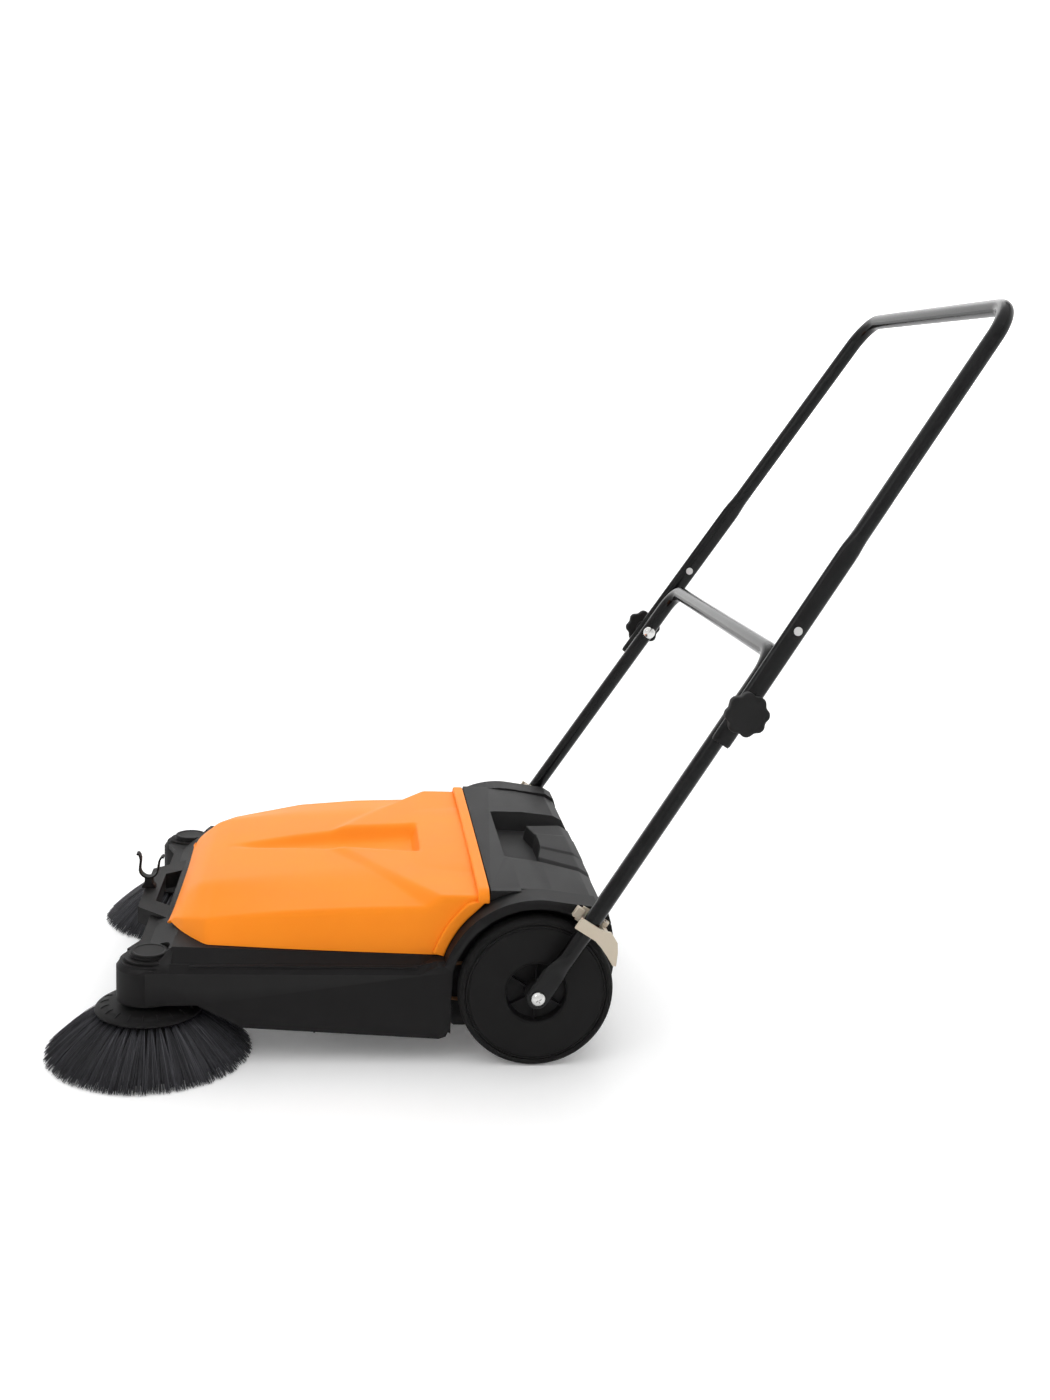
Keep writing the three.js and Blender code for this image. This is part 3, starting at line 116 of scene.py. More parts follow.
# ---------------------------------------------------------------- finishes
@dataclass(frozen=True)
class Finish:
    """A surface finish: colour, gloss and the fine detail that the real one shows.

    The second tint shows in soft clouds, the grain is a fine moulded texture, and wear lightens convex edges.
    """

    name: str
    colour: Point
    tint: Point
    roughness: float = 0.5
    roughness_spread: float = 0.08
    metallic: float = 0.0
    specular: float = 0.12
    coat: float = 0.0
    cloud_scale: float = 9.0
    grain_scale: float = 900.0
    grain_depth: float = 0.12
    grain_stretch: Point = (1.0, 1.0, 1.0)
    wear: float = 0.0
    # How much paler some strands are: partly a varied tone, partly a painted highlight on strands that catch
    # the light.
    strand_gain: float = 0.0
    subsurface: float = 0.0

    def material(self) -> bpy.types.Material:
        """Builds the finish's node material once and keeps it.

        Returns:
            The material of this finish.
        """
        found = bpy.data.materials.get(self.name)
        if found:
            return found
        material = bpy.data.materials.new(self.name)
        material.use_nodes = True
        tree = material.node_tree
        shader = tree.nodes["Principled BSDF"]
        shader.inputs["Metallic"].default_value = self.metallic
        shader.inputs["Specular IOR Level"].default_value = self.specular
        shader.inputs["Coat Weight"].default_value = self.coat
        shader.inputs["Coat Roughness"].default_value = COAT_ROUGHNESS
        if self.subsurface:
            shader.inputs["Subsurface Weight"].default_value = self.subsurface
            shader.inputs["Subsurface Scale"].default_value = SUBSURFACE_DEPTH
        place = tree.nodes.new("ShaderNodeTexCoord")
        stretch = tree.nodes.new("ShaderNodeMapping")
        stretch.inputs["Scale"].default_value = self.grain_stretch
        tree.links.new(place.outputs["Object"], stretch.inputs["Vector"])
        clouds = self._noise(tree, place.outputs["Object"], self.cloud_scale, 3.0)
        grain = self._noise(tree, stretch.outputs["Vector"], self.grain_scale, 2.0)
        colour = self._blend(tree, clouds, self.colour, self.tint)
        # Paler strands at random: partly a varied tone, partly a painted highlight.
        if self.strand_gain:
            colour = self._strands(tree, colour)
        if self.wear:
            colour = self._worn(tree, colour)
        tree.links.new(colour, shader.inputs["Base Color"])
        gloss = tree.nodes.new("ShaderNodeMapRange")
        gloss.inputs["To Min"].default_value = max(self.roughness - self.roughness_spread, 0.02)
        gloss.inputs["To Max"].default_value = min(self.roughness + self.roughness_spread, 1.0)
        tree.links.new(clouds, gloss.inputs["Value"])
        tree.links.new(gloss.outputs["Result"], shader.inputs["Roughness"])
        bump = tree.nodes.new("ShaderNodeBump")
        bump.inputs["Strength"].default_value = self.grain_depth
        bump.inputs["Distance"].default_value = GRAIN_HEIGHT
        tree.links.new(grain, bump.inputs["Height"])
        tree.links.new(bump.outputs["Normal"], shader.inputs["Normal"])
        return material

    @staticmethod
    def _noise(tree: Tree, vector: Socket, scale: float, detail: float) -> Socket:
        """Adds a noise texture.

        Args:
            tree: The material's nodes.
            vector: Where the texture is read.
            scale: Its fineness, per metre.
            detail: How many finer octaves it has.

        Returns:
            The noise value's socket.
        """
        noise = tree.nodes.new("ShaderNodeTexNoise")
        noise.inputs["Scale"].default_value = scale
        noise.inputs["Detail"].default_value = detail
        tree.links.new(vector, noise.inputs["Vector"])
        return noise.outputs["Fac"]

    @staticmethod
    def _blend(tree: Tree, share: Socket, first: Point, second: Point) -> Socket:
        """Blends two colours by a share.

        Args:
            tree: The material's nodes.
            share: The socket that says how much of the second colour there is.
            first: The colour at no share.
            second: The colour at full share.

        Returns:
            The blended colour's socket.
        """
        ramp = tree.nodes.new("ShaderNodeValToRGB")
        for element, position, colour in zip(ramp.color_ramp.elements, CLOUD_SHARES, (first, second)):
            element.position = position
            element.color = (*colour, 1.0)
        tree.links.new(share, ramp.inputs["Fac"])
        return ramp.outputs["Color"]

    def _strands(self, tree: Tree, colour: Socket) -> Socket:
        """Varies the colour from strand to strand by the mesh's own attribute; some strands are paler, partly
        a varied tone and partly a painted highlight.

        Args:
            tree: The material's nodes.
            colour: The colour so far.

        Returns:
            The varied colour's socket.
        """
        strand = tree.nodes.new("ShaderNodeAttribute")
        strand.attribute_name = "strand"
        # The paler colour is partly a painted highlight on the strands.
        pale = [min(c * self.strand_gain, 1.0) for c in self.tint]
        return self._mixed(tree, colour, pale, strand.outputs["Fac"])

    def _worn(self, tree: Tree, colour: Socket) -> Socket:
        """Lightens the colour a little along convex edges.

        Args:
            tree: The material's nodes.
            colour: The colour so far.

        Returns:
            The worn colour's socket.
        """
        shape = tree.nodes.new("ShaderNodeNewGeometry")
        edge = tree.nodes.new("ShaderNodeMapRange")
        edge.inputs["From Min"].default_value = WORN_POINTINESS[0]
        edge.inputs["From Max"].default_value = WORN_POINTINESS[1]
        edge.inputs["To Max"].default_value = self.wear
        tree.links.new(shape.outputs["Pointiness"], edge.inputs["Value"])
        rubbed = [min(c * 1.6 + 0.02, 1.0) for c in self.colour]
        return self._mixed(tree, colour, rubbed, edge.outputs["Result"])

    @staticmethod
    def _mixed(tree: Tree, colour: Socket, other: Sequence[float], share: Socket) -> Socket:
        """Mixes a plain colour into the colour so far.

        Args:
            tree: The material's nodes.
            colour: The colour so far.
            other: The plain colour.
            share: The socket that says how much of it there is.

        Returns:
            The mixed colour's socket.
        """
        mix = tree.nodes.new("ShaderNodeMix")
        mix.data_type = "RGBA"
        mix.inputs["B"].default_value = (*other, 1.0)
        tree.links.new(share, mix.inputs["Factor"])
        tree.links.new(colour, mix.inputs["A"])
        return mix.outputs["Result"]


SLOT_FINISHES: dict[str, Finish] = {
    "body_black": Finish(
        "black_moulded_shell", (0.0066, 0.0062, 0.0064), (0.0092, 0.0088, 0.009), 0.6, 0.07,
        grain_depth=0.22, wear=0.3,
    ),
    "top_black": Finish(
        "charcoal_moulded_hopper", (0.0115, 0.0112, 0.0115), (0.0155, 0.0151, 0.0155), 0.6, 0.06,
        grain_depth=0.3, grain_scale=700.0, wear=0.3,
    ),
    "hood_orange": Finish(
        "orange_moulded_shell", (0.93, 0.25, 0.012), (0.96, 0.272, 0.0145), 0.55, 0.05, specular=0.12,
        grain_depth=0.1, grain_scale=1100.0, subsurface=0.05,
    ),
    "wheel_black": Finish(
        "black_wheel_disc", (0.0058, 0.0055, 0.0056), (0.0076, 0.0073, 0.0074), 0.52, 0.06,
        grain_depth=0.16,
    ),
    "tyre_rubber": Finish(
        "soft_tyre_rubber", (0.008, 0.0078, 0.0078), (0.0115, 0.0112, 0.011), 0.75, 0.08, specular=0.1,
        grain_depth=0.3, grain_scale=500.0,
    ),
    "flap_rubber": Finish(
        "flap_rubber", (0.012, 0.012, 0.012), (0.018, 0.018, 0.018), 0.8, 0.08, specular=0.3,
        grain_depth=0.3,
    ),
    # The bristles' paler strands are partly a varied tone and partly a painted highlight.
    "bristle_grey": Finish(
        "bristle_nylon", (0.025, 0.025, 0.0285), (0.042, 0.042, 0.047), 0.45, 0.08, specular=0.3,
        grain_depth=0.05, strand_gain=2.6,
    ),
    "tube_black": Finish(
        "gloss_black_tube_paint", (0.0025, 0.0025, 0.0027), (0.0035, 0.0035, 0.0038), 0.22, 0.05,
        specular=0.2, coat=0.04, grain_depth=0.06, grain_scale=250.0,
    ),
    "bright_steel": Finish(
        "bright_zinc", (0.6, 0.6, 0.59), (0.72, 0.72, 0.71), 0.22, 0.06, metallic=1.0, grain_depth=0.05,
        grain_scale=1500.0, grain_stretch=(1.0, 0.1, 1.0),
    ),
    "latch_beige": Finish(
        "warm_grey_latch_nylon", (0.52, 0.455, 0.36), (0.58, 0.51, 0.41), 0.48, 0.06, grain_depth=0.12,
        subsurface=0.08,
    ),
    "belt_brown": Finish(
        "amber_belt", (0.09, 0.045, 0.018), (0.13, 0.065, 0.024), 0.45, 0.08, grain_depth=0.15,
        subsurface=0.05,
    ),
    "nylon_white": Finish(
        "pale_nylon", (0.52, 0.52, 0.51), (0.6, 0.6, 0.59), 0.42, 0.06, grain_depth=0.1,
        subsurface=0.06,
    ),
    "knob_black": Finish(
        "knob_plastic", (0.0125, 0.0125, 0.0125), (0.0165, 0.0165, 0.0165), 0.62, 0.06,
        grain_depth=0.35, grain_scale=800.0,
    ),
}
BRISTLE_BASE = Finish(
    "bristle_root_shade", (0.006, 0.006, 0.0065), (0.01, 0.01, 0.0105), 0.8, 0.05, specular=0.2,
    grain_depth=0.3, grain_scale=300.0,
)


# ---------------------------------------------------------------- small geometry
def rounded(profile: Sequence[Flat], radius: float, closed: bool, steps: int) -> list[Flat]:
    """Rounds the corners of a flat outline.

    Args:
        profile: The outline's corners.
        radius: How far from each corner the rounding starts, at most.
        closed: Whether the last corner leads back to the first.
        steps: Spans in each rounded corner.

    Returns:
        The rounded outline.
    """
    points = [Vector(p) for p in profile]
    result: list[Flat] = []
    for i, corner in enumerate(points):
        if not closed and i in (0, len(points) - 1):
            result.append(tuple(corner))
            continue
        before = points[i - 1] - corner
        after = points[(i + 1) % len(points)] - corner
        start = corner + before.normalized() * min(radius, before.length * 0.48)
        end = corner + after.normalized() * min(radius, after.length * 0.48)
        for k in range(steps + 1):
            u = k / steps
            result.append(tuple(start * (1 - u) ** 2 + corner * 2 * u * (1 - u) + end * u**2))
    return result


def soft_min(a: np.ndarray | float, b: np.ndarray | float, reach: float) -> np.ndarray | float:
    """The lower of two heights, rounded where they cross.

    Args:
        a: The first heights.
        b: The second heights.
        reach: How near they have to be for the rounding to start.

    Returns:
        The blended heights.
    """
    near = np.clip(0.5 + 0.5 * (b - a) / reach, 0.0, 1.0)
    return b * (1 - near) + a * near - reach * near * (1 - near)


def soft_max(a: np.ndarray | float, b: np.ndarray | float, reach: float) -> np.ndarray | float:
    """The higher of two heights, rounded where they cross."""
    return -soft_min(-a, -b, reach)


def smooth_step(value: np.ndarray | float, low: float, high: float) -> np.ndarray | float:
    """A smooth rise from 0 at low to 1 at high."""
    u = np.clip((value - low) / (high - low), 0.0, 1.0)
    return u * u * (3 - 2 * u)


def linked(name: str, data: bpy.types.ID) -> Piece:
    """Adds an object to the scene.

    Args:
        name: The object's name.
        data: Its mesh, lamp or camera.

    Returns:
        The object.
    """
    added = bpy.data.objects.new(name, data)
    bpy.context.scene.collection.objects.link(added)
    return added


def faces_inwards(piece: Piece) -> bool:
    """Whether a closed mesh is inside out, by its signed volume."""
    mesh = piece.data
    mesh.calc_loop_triangles()
    corners = np.array([mesh.vertices[i].co for t in mesh.loop_triangles for i in t.vertices])
    corners = corners.reshape(-1, 3, 3)
    volumes = np.einsum("ij,ij->i", corners[:, 0], np.cross(corners[:, 1], corners[:, 2]))
    return float(volumes.sum()) < 0


@dataclass
class Bench:
    """The modelling bench: every piece is begun, shaped, dressed and placed here."""

    frame: dict
    axle_y: float
    made: list[str] = field(default_factory=list)

    # ---- starting and finishing a mesh
    @staticmethod
    def deselect() -> None:
        """Leaves edit mode and deselects everything."""
        if bpy.context.object and bpy.context.object.mode != "OBJECT":
            bpy.ops.object.mode_set(mode="OBJECT")
        bpy.ops.object.select_all(action="DESELECT")

    def choose(self, piece: Piece) -> None:
        """Makes one piece the only selected and active one."""
        self.deselect()
        piece.select_set(True)
        bpy.context.view_layer.objects.active = piece

    def to_frame(self, points: np.ndarray) -> np.ndarray:
        """Turns millimetres about the axle into the frame's metres."""
        return np.asarray(points, float) * MM + np.array([0.0, self.axle_y, 0.0])

    def sheet(self, name: str, rows: np.ndarray) -> Piece:
        """Makes an open sheet from a grid primitive whose vertices are moved into place.

        Args:
            name: The piece's name.
            rows: Points as an array of rows, columns and x, y, z.

        Returns:
            The sheet.
        """
        self.deselect()
        down, across = rows.shape[:2]
        bpy.ops.mesh.primitive_grid_add(x_subdivisions=across - 1, y_subdivisions=down - 1, size=1.0)
        piece = bpy.context.object
        piece.name = piece.data.name = name
        piece.data.vertices.foreach_set("co", self.to_frame(rows.reshape(-1, 3)).ravel())
        piece.data.update()
        return piece

    def close(self, piece: Piece) -> None:
        """Merges a mesh's doubles, fills its ends and turns its faces outwards.

        Args:
            piece: The piece to close.
        """
        self.choose(piece)
        bpy.ops.object.mode_set(mode="EDIT")
        bpy.ops.mesh.select_all(action="SELECT")
        bpy.ops.mesh.remove_doubles(threshold=SAME_POINT)
        bpy.ops.mesh.dissolve_degenerate(threshold=SAME_POINT)
        bpy.ops.mesh.select_all(action="SELECT")
        bpy.ops.mesh.fill_holes(sides=0)
        bpy.ops.mesh.select_all(action="SELECT")
        bpy.ops.mesh.normals_make_consistent(inside=False)
        bpy.ops.object.mode_set(mode="OBJECT")

    def lofted(self, name: str, rings: Sequence[Sequence[Point]], looped: bool = False) -> Piece:
        """Makes a closed skin over rings that have the same number of points.

        Args:
            name: The piece's name.
            rings: The rings, in order.
            looped: Whether the last ring leads back to the first, as in a torus.

        Returns:
            The closed piece.
        """
        rows = np.array([list(ring) + [ring[0]] for ring in rings], float)
        if looped:
            rows = np.concatenate([rows, rows[:1]])
        piece = self.sheet(name, rows)
        self.close(piece)
        return piece

    def turned(
        self, name: str, profile: Sequence[Flat], centre: Point, axis: Axis, around: int, looped: bool = False
    ) -> Piece:
        """Turns a profile of (radius, height) about an axis.

        Args:
            name: The piece's name.
            profile: The profile's points. An open one starts and ends at radius 0.
            centre: A point of the axis, from which heights are measured.
            axis: The direction of the axis.
            around: Facets round the piece.
            looped: Whether the profile closes on itself, away from the axis.

        Returns:
            The turned piece.
        """
        angles = np.linspace(0, FULL_TURN, around, endpoint=False)
        rings = []
        for radius, height in profile:
            first, second = np.cos(angles) * radius, np.sin(angles) * radius
            along = np.full(around, height)
            parts = (along, first, second) if axis is Axis.X else (first, second, along)
            rings.append((np.stack(parts, axis=1) + np.array(centre)).tolist())
        return self.lofted(name, rings, looped)

    def slab(
        self, name: str, outline: Sequence[Flat], x_from: float, x_to: float, edge: float = 0.0
    ) -> Piece:
        """Makes a slab of a (y, z) outline between two x planes, with its rims eased.

        Args:
            name: The piece's name.
            outline: The outline's points.
            x_from: The slab's first face.
            x_to: Its other face.
            edge: How much of the rim is bevelled.

        Returns:
            The slab.
        """
        piece = self.lofted(name, [[(x, y, z) for y, z in outline] for x in (x_from, x_to)])
        if edge:
            self.soften(piece, edge, 3, 50)
        return piece

    def refined(self, node: str, name: str, width: float, angle: float) -> Piece:
        """Makes a moulded-looking copy of a frame node, with its edges rounded.

        Args:
            node: The frame's node.
            name: The new piece's name.
            width: How wide the rounding is.
            angle: The least angle of an edge that is rounded, in degrees.

        Returns:
            The copy.
        """
        mesh = self.frame["nodes"][node].data.copy()
        mesh.name = name
        piece = linked(name, mesh)
        self.choose(piece)
        bpy.ops.object.mode_set(mode="EDIT")
        bpy.ops.mesh.select_all(action="SELECT")
        bpy.ops.mesh.remove_doubles(threshold=SAME_NODE_POINT)
        bpy.ops.mesh.dissolve_limited(angle_limit=math.radians(FLAT_ANGLE))
        bpy.ops.object.mode_set(mode="OBJECT")
        self.soften(piece, width, 3, angle)
        return piece

    def apply(self, piece: Piece, kind: str, **settings: object) -> None:
        """Adds one modifier, sets it and applies it.

        Args:
            piece: The piece that gets it.
            kind: The modifier's type.
            settings: Its settings by name.
        """
        self.choose(piece)
        modifier = piece.modifiers.new(kind.title(), kind)
        for key, value in settings.items():
            setattr(modifier, key, value)
        bpy.ops.object.modifier_apply(modifier=modifier.name)

    def soften(self, piece: Piece, width: float, segments: int, angle: float) -> None:
        """Rounds a piece's edges that are sharper than an angle.

        Args:
            piece: The piece.
            width: The rounding's width, in millimetres.
            segments: Facets across the rounding.
            angle: The least angle that is rounded, in degrees.
        """
        self.apply(
            piece, "BEVEL", width=width * MM, segments=segments, limit_method="ANGLE",
            angle_limit=math.radians(angle), use_clamp_overlap=True, loop_slide=True, miter_outer="MITER_ARC",
        )

    def combine(self, piece: Piece, tool: Piece, operation: str = "DIFFERENCE") -> None:
        """Cuts a tool from a piece, or joins it on, and removes the tool.

        Args:
            piece: The piece that changes.
            tool: The solid that is cut away or joined.
            operation: The boolean's operation.
        """
        self.apply(piece, "BOOLEAN", operation=operation, object=tool, solver="EXACT")
        bpy.data.objects.remove(tool)

    def shade(self, piece: Piece, angle: float, weighted: bool = True) -> None:
        """Shades a piece smooth but for its sharp edges.

        Args:
            piece: The piece.
            angle: The angle from which an edge stays sharp, in degrees.
            weighted: Whether large faces govern the shading beside small ones.
        """
        self.choose(piece)
        bpy.ops.object.shade_smooth_by_angle(angle=math.radians(angle))
        if weighted:
            self.apply(piece, "WEIGHTED_NORMAL", keep_sharp=True, weight=100, mode="FACE_AREA")

    def merge(self, pieces: Sequence[Piece], name: str) -> Piece:
        """Joins several meshes into one piece.

        Args:
            pieces: The meshes.
            name: The joined piece's name.

        Returns:
            The joined piece.
        """
        self.choose(pieces[0])
        for other in pieces[1:]:
            other.select_set(True)
        bpy.ops.object.join()
        joined = bpy.context.object
        joined.name = joined.data.name = name
        return joined

    def mirrored(self, piece: Piece, name: str) -> Piece:
        """Copies a piece to the other side of the machine.

        Args:
            piece: The piece.
            name: The copy's name.

        Returns:
            The copy, with its own mesh and its faces outwards.
        """
        mesh = piece.data.copy()
        mesh.name = name
        mesh.transform(Matrix.Diagonal((-1.0, 1.0, 1.0, 1.0)))
        mesh.flip_normals()
        return linked(name, mesh)

    def place(self, piece: Piece, body: str, slot: str, *nodes: str, finish: Optional[Finish] = None) -> None:
        """Dresses a piece, gives it to a body and hides the nodes that it stands for.

        Args:
            piece: The finished piece.
            body: The body that it moves with.
            slot: The record's material slot.
            nodes: The frame's nodes that it replaces.
            finish: Its finish, if it isn't the slot's own.
        """
        piece.data.materials.clear()
        piece.data.materials.append((finish or SLOT_FINISHES[slot]).material())
        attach(piece, body)
        if nodes:
            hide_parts(*nodes)
        self.made.append(piece.name)
        log.info("%s: %d faces, on %s", piece.name, len(piece.data.polygons), body)

    def both_sides(
        self, piece: Piece, name: str, body: str, slot: str, node: str = "", finish: Optional[Finish] = None
    ) -> None:
        """Places a left piece and its mirrored copy.

        Args:
            piece: The left piece.
            name: The piece's name without its side.
            body: The body's name, with {side} where the side's word goes.
            slot: The record's material slot.
            node: The name, without its side, of the node that it replaces, if it replaces one.
            finish: Its finish, if it isn't the slot's own.
        """
        other = self.mirrored(piece, f"right_{name}")
        piece.name = f"left_{name}"
        for side, mesh in ((Side.LEFT, piece), (Side.RIGHT, other)):
            nodes = [f"{side.word}_{node}"] if node else []
            self.place(mesh, body.format(side=side.word), slot, *nodes, finish=finish)


@dataclass
class Assembly:
    """A group of pieces that is made on the bench."""

    bench: Bench


# ---------------------------------------------------------------- hood
@dataclass
class Hood(Assembly):
    """The orange hood: a thin moulded shell with a scooped top, raised rear corners and a rim at its rear."""

    stations: tuple[float, ...] = (-473, -470, -455, -438, -419, -318, -232, -140, -61)
    crease_half: tuple[float, ...] = (168, 172, 196, 212, 229, 249, 255, 256, 252)
    crease_z: tuple[float, ...] = (147, 152, 160, 166, 171, 188, 195, 198.5, 202)
    base_half: tuple[float, ...] = (168, 176, 206, 230, 252, 258, 260, 261, 262)
    crown_z: tuple[float, ...] = (147, 154, 174, 189, 194, 204, 210, 215, 217)
    fold_share: tuple[float, ...] = (0.7, 0.7, 0.68, 0.66, 0.64, 0.61, 0.59, 0.58, 0.58)
    deck_front: float = -455.0
    deck_front_z: float = 145.5
    deck_rear: float = -125.5
    deck_rear_z: float = 136.5
    scoop_rear: float = -141.0
    scoop_tip: float = -445.0
    scoop_half: float = 66.0
    scoop_floor_rear: float = 196.0
    scoop_floor_tip: float = 190.0
    scoop_taper: float = 0.85
    scoop_blend: float = 7.0
    scoop_edge: float = 2.5
    scoop_side_slope: float = 1.5
    scoop_rear_slope: float = 2.2
    crown_fall: float = 1.5
    crease_blend: float = 3.0
    raised_z: float = 213.5
    step_foot: float = -142.0
    step_head: float = -119.0
    step_slant: float = 0.62
    wall: float = 3.0
    arch_radius: float = 122.8
    axle_z: float = 100.0
    rim_width: float = 15.0
    rim_y: float = -68.5
    rim_crown_z: float = 218.5
    rim_half: float = 238.0
    rim_corner: Flat = (240.5, 217.0)
    rim_side: Flat = (256.0, 136.0)
    corner_reach: float = 5.0
    columns: int = 150
    flank_spans: int = 14
    front_rows: int = 8
    front_lean: float = 1.5
    front_sink: float = 8.0

    def at(self, values: Sequence[float], y: float) -> float:
        """Reads a size at a station, eased over the corners between stations.

        Args:
            values: The size at each of the stations.
            y: Where it is read.

        Returns:
            The size at y.
        """
        reach = min(self.corner_reach, max(y - self.stations[0], 0.0))
        near = np.linspace(y - reach, y + reach, 9)
        return float(np.mean(np.interp(near, self.stations, values)))

    def deck_z(self, y: float) -> float:
        """The height of the deck under the hood."""
        share = (max(y, self.deck_front) - self.deck_front) / (self.deck_rear - self.deck_front)
        return self.deck_front_z + (self.deck_rear_z - self.deck_front_z) * share + 0.4

    def foot_z(self, y: float) -> float:
        """The height of the hood's lower edge, which follows the wheel arch at the rear."""
        over_arch = self.axle_z + math.sqrt(max(self.arch_radius**2 - y**2, 0.0)) + 0.4
        return max(self.deck_z(y), over_arch)

    def top(self, x: np.ndarray, y: float) -> np.ndarray:
        """The height of the hood's top.

        Args:
            x: Distances from the middle, to either side.
            y: The station.

        Returns:
            The heights.
        """
        half = self.at(self.crease_half, y)
        crease = self.at(self.crease_z, y)
        crown = self.at(self.crown_z, y)
        fold = half * self.at(self.fold_share, y)
        away = np.abs(x)
        flank = crease + (crown - self.crown_fall - crease) * (half - away) / (half - fold)
        middle = crown - self.crown_fall * (away / fold) ** 2
        height = soft_min(flank, middle, self.crease_blend)
        # The rear corners stand up to a level of their own behind a slanting step.
        slant = (half - away) * self.step_slant
        step = smooth_step(y, self.step_foot - slant, self.step_head - slant)
        height = height + np.maximum(self.raised_z - height, 0.0) * step
        # The scoop runs forward from its rear wall and fades out.
        run = (y - self.scoop_tip) / (self.scoop_rear - self.scoop_tip)
        if run > 0:
            floor = self.scoop_floor_tip + (self.scoop_floor_rear - self.scoop_floor_tip) * run
            edge = self.scoop_half * min(run, 1.0) ** self.scoop_taper
            sides = floor + (away - edge + 13.0) * self.scoop_side_slope
            rear = floor + (y - self.scoop_rear + 9.0) * self.scoop_rear_slope
            hollow = soft_max(soft_max(sides, rear, self.scoop_blend), floor, self.scoop_blend)
            height = soft_min(height, hollow, self.scoop_edge)
        return height

    def section(self, y: float) -> np.ndarray:
        """One cross section of the hood, from one lower edge over the top to the other.

        Args:
            y: The station.

        Returns:
            The section's points.
        """
        half = self.at(self.crease_half, y)
        base_half = self.at(self.base_half, y)
        deck = self.deck_z(y)
        shares = np.linspace(-1, 1, self.columns + 1)
        x = half * np.sign(shares) * np.abs(shares) ** 0.9
        z = self.top(x, y)
        down = np.linspace(0, 1, self.flank_spans + 1)[1:]
        side_z = z[-1] + (self.foot_z(y) - z[-1]) * down
        side_x = half + (base_half - half) * (z[-1] - side_z) / (z[-1] - deck)
        points = np.stack(
            [
                np.concatenate([-side_x[::-1], x, side_x]),
                np.full(len(x) + 2 * len(side_x), y),
                np.concatenate([side_z[::-1], z, side_z]),
            ],
            axis=1,
        )
        return self.eased(points, 3)

    @staticmethod
    def eased(points: np.ndarray, rounds: int) -> np.ndarray:
        """Smooths a section a little, so that its creases have a moulded radius.

        Args:
            points: The section's points.
            rounds: How often each point moves towards its neighbours.

        Returns:
            The smoothed points.
        """
        for _ in range(rounds):
            inner = (points[:-2] + 2 * points[1:-1] + points[2:]) / 4
            points = np.concatenate([points[:1], inner, points[-1:]])
        return points

    def shell(self) -> Piece:
        """Builds the thin shell.

        Returns:
            The shell.
        """
        ys = np.concatenate([np.linspace(-473, -410, 36), np.linspace(-405, -61, 120)])
        rows = np.array([self.section(y) for y in ys])
        # The front closes down to the deck in a steep, slightly leaning face.
        front = []
        for k in range(self.front_rows, 0, -1):
            drop = k / self.front_rows
            row = rows[0].copy()
            inner = 1 - np.clip(np.abs(row[:, 0]) / self.base_half[0], 0, 1) ** 2
            low = self.deck_z(self.deck_front) - 0.5 - self.front_sink * inner
            row[:, 2] = row[:, 2] + (low - row[:, 2]) * drop
            row[:, 1] = row[:, 1] - self.front_lean * drop
            front.append(row)
        rows = np.concatenate([np.array(front), rows])
        piece = self.bench.sheet("hood_shell", rows)
        self.bench.apply(piece, "SOLIDIFY", thickness=self.wall * MM, offset=-1.0, use_even_offset=False)
        if faces_inwards(piece):
            piece.data.flip_normals()
        self.bench.shade(piece, 32.0, weighted=False)
        return piece

    def rim_stations(self) -> list[tuple[Point, Point, Point]]:
        """The rim's line from the middle of the hood to the foot of the arch on the left.

        Returns:
            Each station's point, width direction and outward direction.
        """
        stations: list[tuple[Point, Point, Point]] = []
        middle = self.arch_radius + self.rim_width / 2
        corner_z = self.axle_z + math.sqrt(middle**2 - self.rim_y**2)
        for x in np.linspace(0, self.rim_half, 9):
            z = self.rim_crown_z - self.crown_fall * (x / self.rim_half) ** 2
            stations.append(((x, self.rim_y, z), (0, 1, 0), (0, 0, 1)))
        start = math.atan2(corner_z - self.axle_z, self.rim_y)
        corner_x, high = self.rim_corner
        side_x, low = self.rim_side
        turn_steps = 8
        for k in range(1, turn_steps + 1):
            u = math.pi / 2 * k / turn_steps
            x = corner_x + (side_x - corner_x) * math.sin(u)
            z = high - (high - corner_z + 4) * (1 - math.cos(u))
            out = (math.sin(u), 0.0, math.cos(u))
            stations.append(((x, self.rim_y, z), (0, 1, 0), out))
        first = start + 0.05
        last = math.pi - math.asin((self.deck_z(-125) + 2 - self.axle_z) / middle)
        for k, angle in enumerate(np.linspace(first, last, 20)):
            share = min(k / 4, 1.0)
            radial = Vector((0, math.cos(angle), math.sin(angle)))
            width = (radial * -1 * share + Vector((0, 1, 0)) * (1 - share)).normalized()
            z = self.axle_z + math.sin(angle) * middle
            x = side_x + 5.5 * (corner_z - z) / (corner_z - low)
            stations.append(((x, math.cos(angle) * middle, z), tuple(width), (1, 0, 0)))
        return stations

    def rim(self) -> Piece:
        """Builds the raised rim along the hood's rear and down both wheel arches.

        Returns:
            The rim.
        """
        half = self.rim_width / 2
        outline = rounded([(-half, -5), (half, -5), (half, 5.5), (-half, 5.5)], 3.0, True, 4)
        line = self.rim_stations()
        flipped = [((-p[0], p[1], p[2]), w, (-o[0], o[1], o[2])) for p, w, o in line[1:]]
        rings = []
        for centre, width, out in list(reversed(flipped)) + line:
            ring = [tuple(Vector(centre) + Vector(width) * u + Vector(out) * v) for u, v in outline]
            rings.append(ring)
        piece = self.bench.lofted("hood_rim", rings)
        self.bench.shade(piece, 50.0)
        return piece

    def build(self) -> None:
        """Builds, dresses and places the hood."""
        self.bench.place(self.shell(), "body", "hood_orange", "hood")
        self.bench.place(self.rim(), "body", "hood_orange")


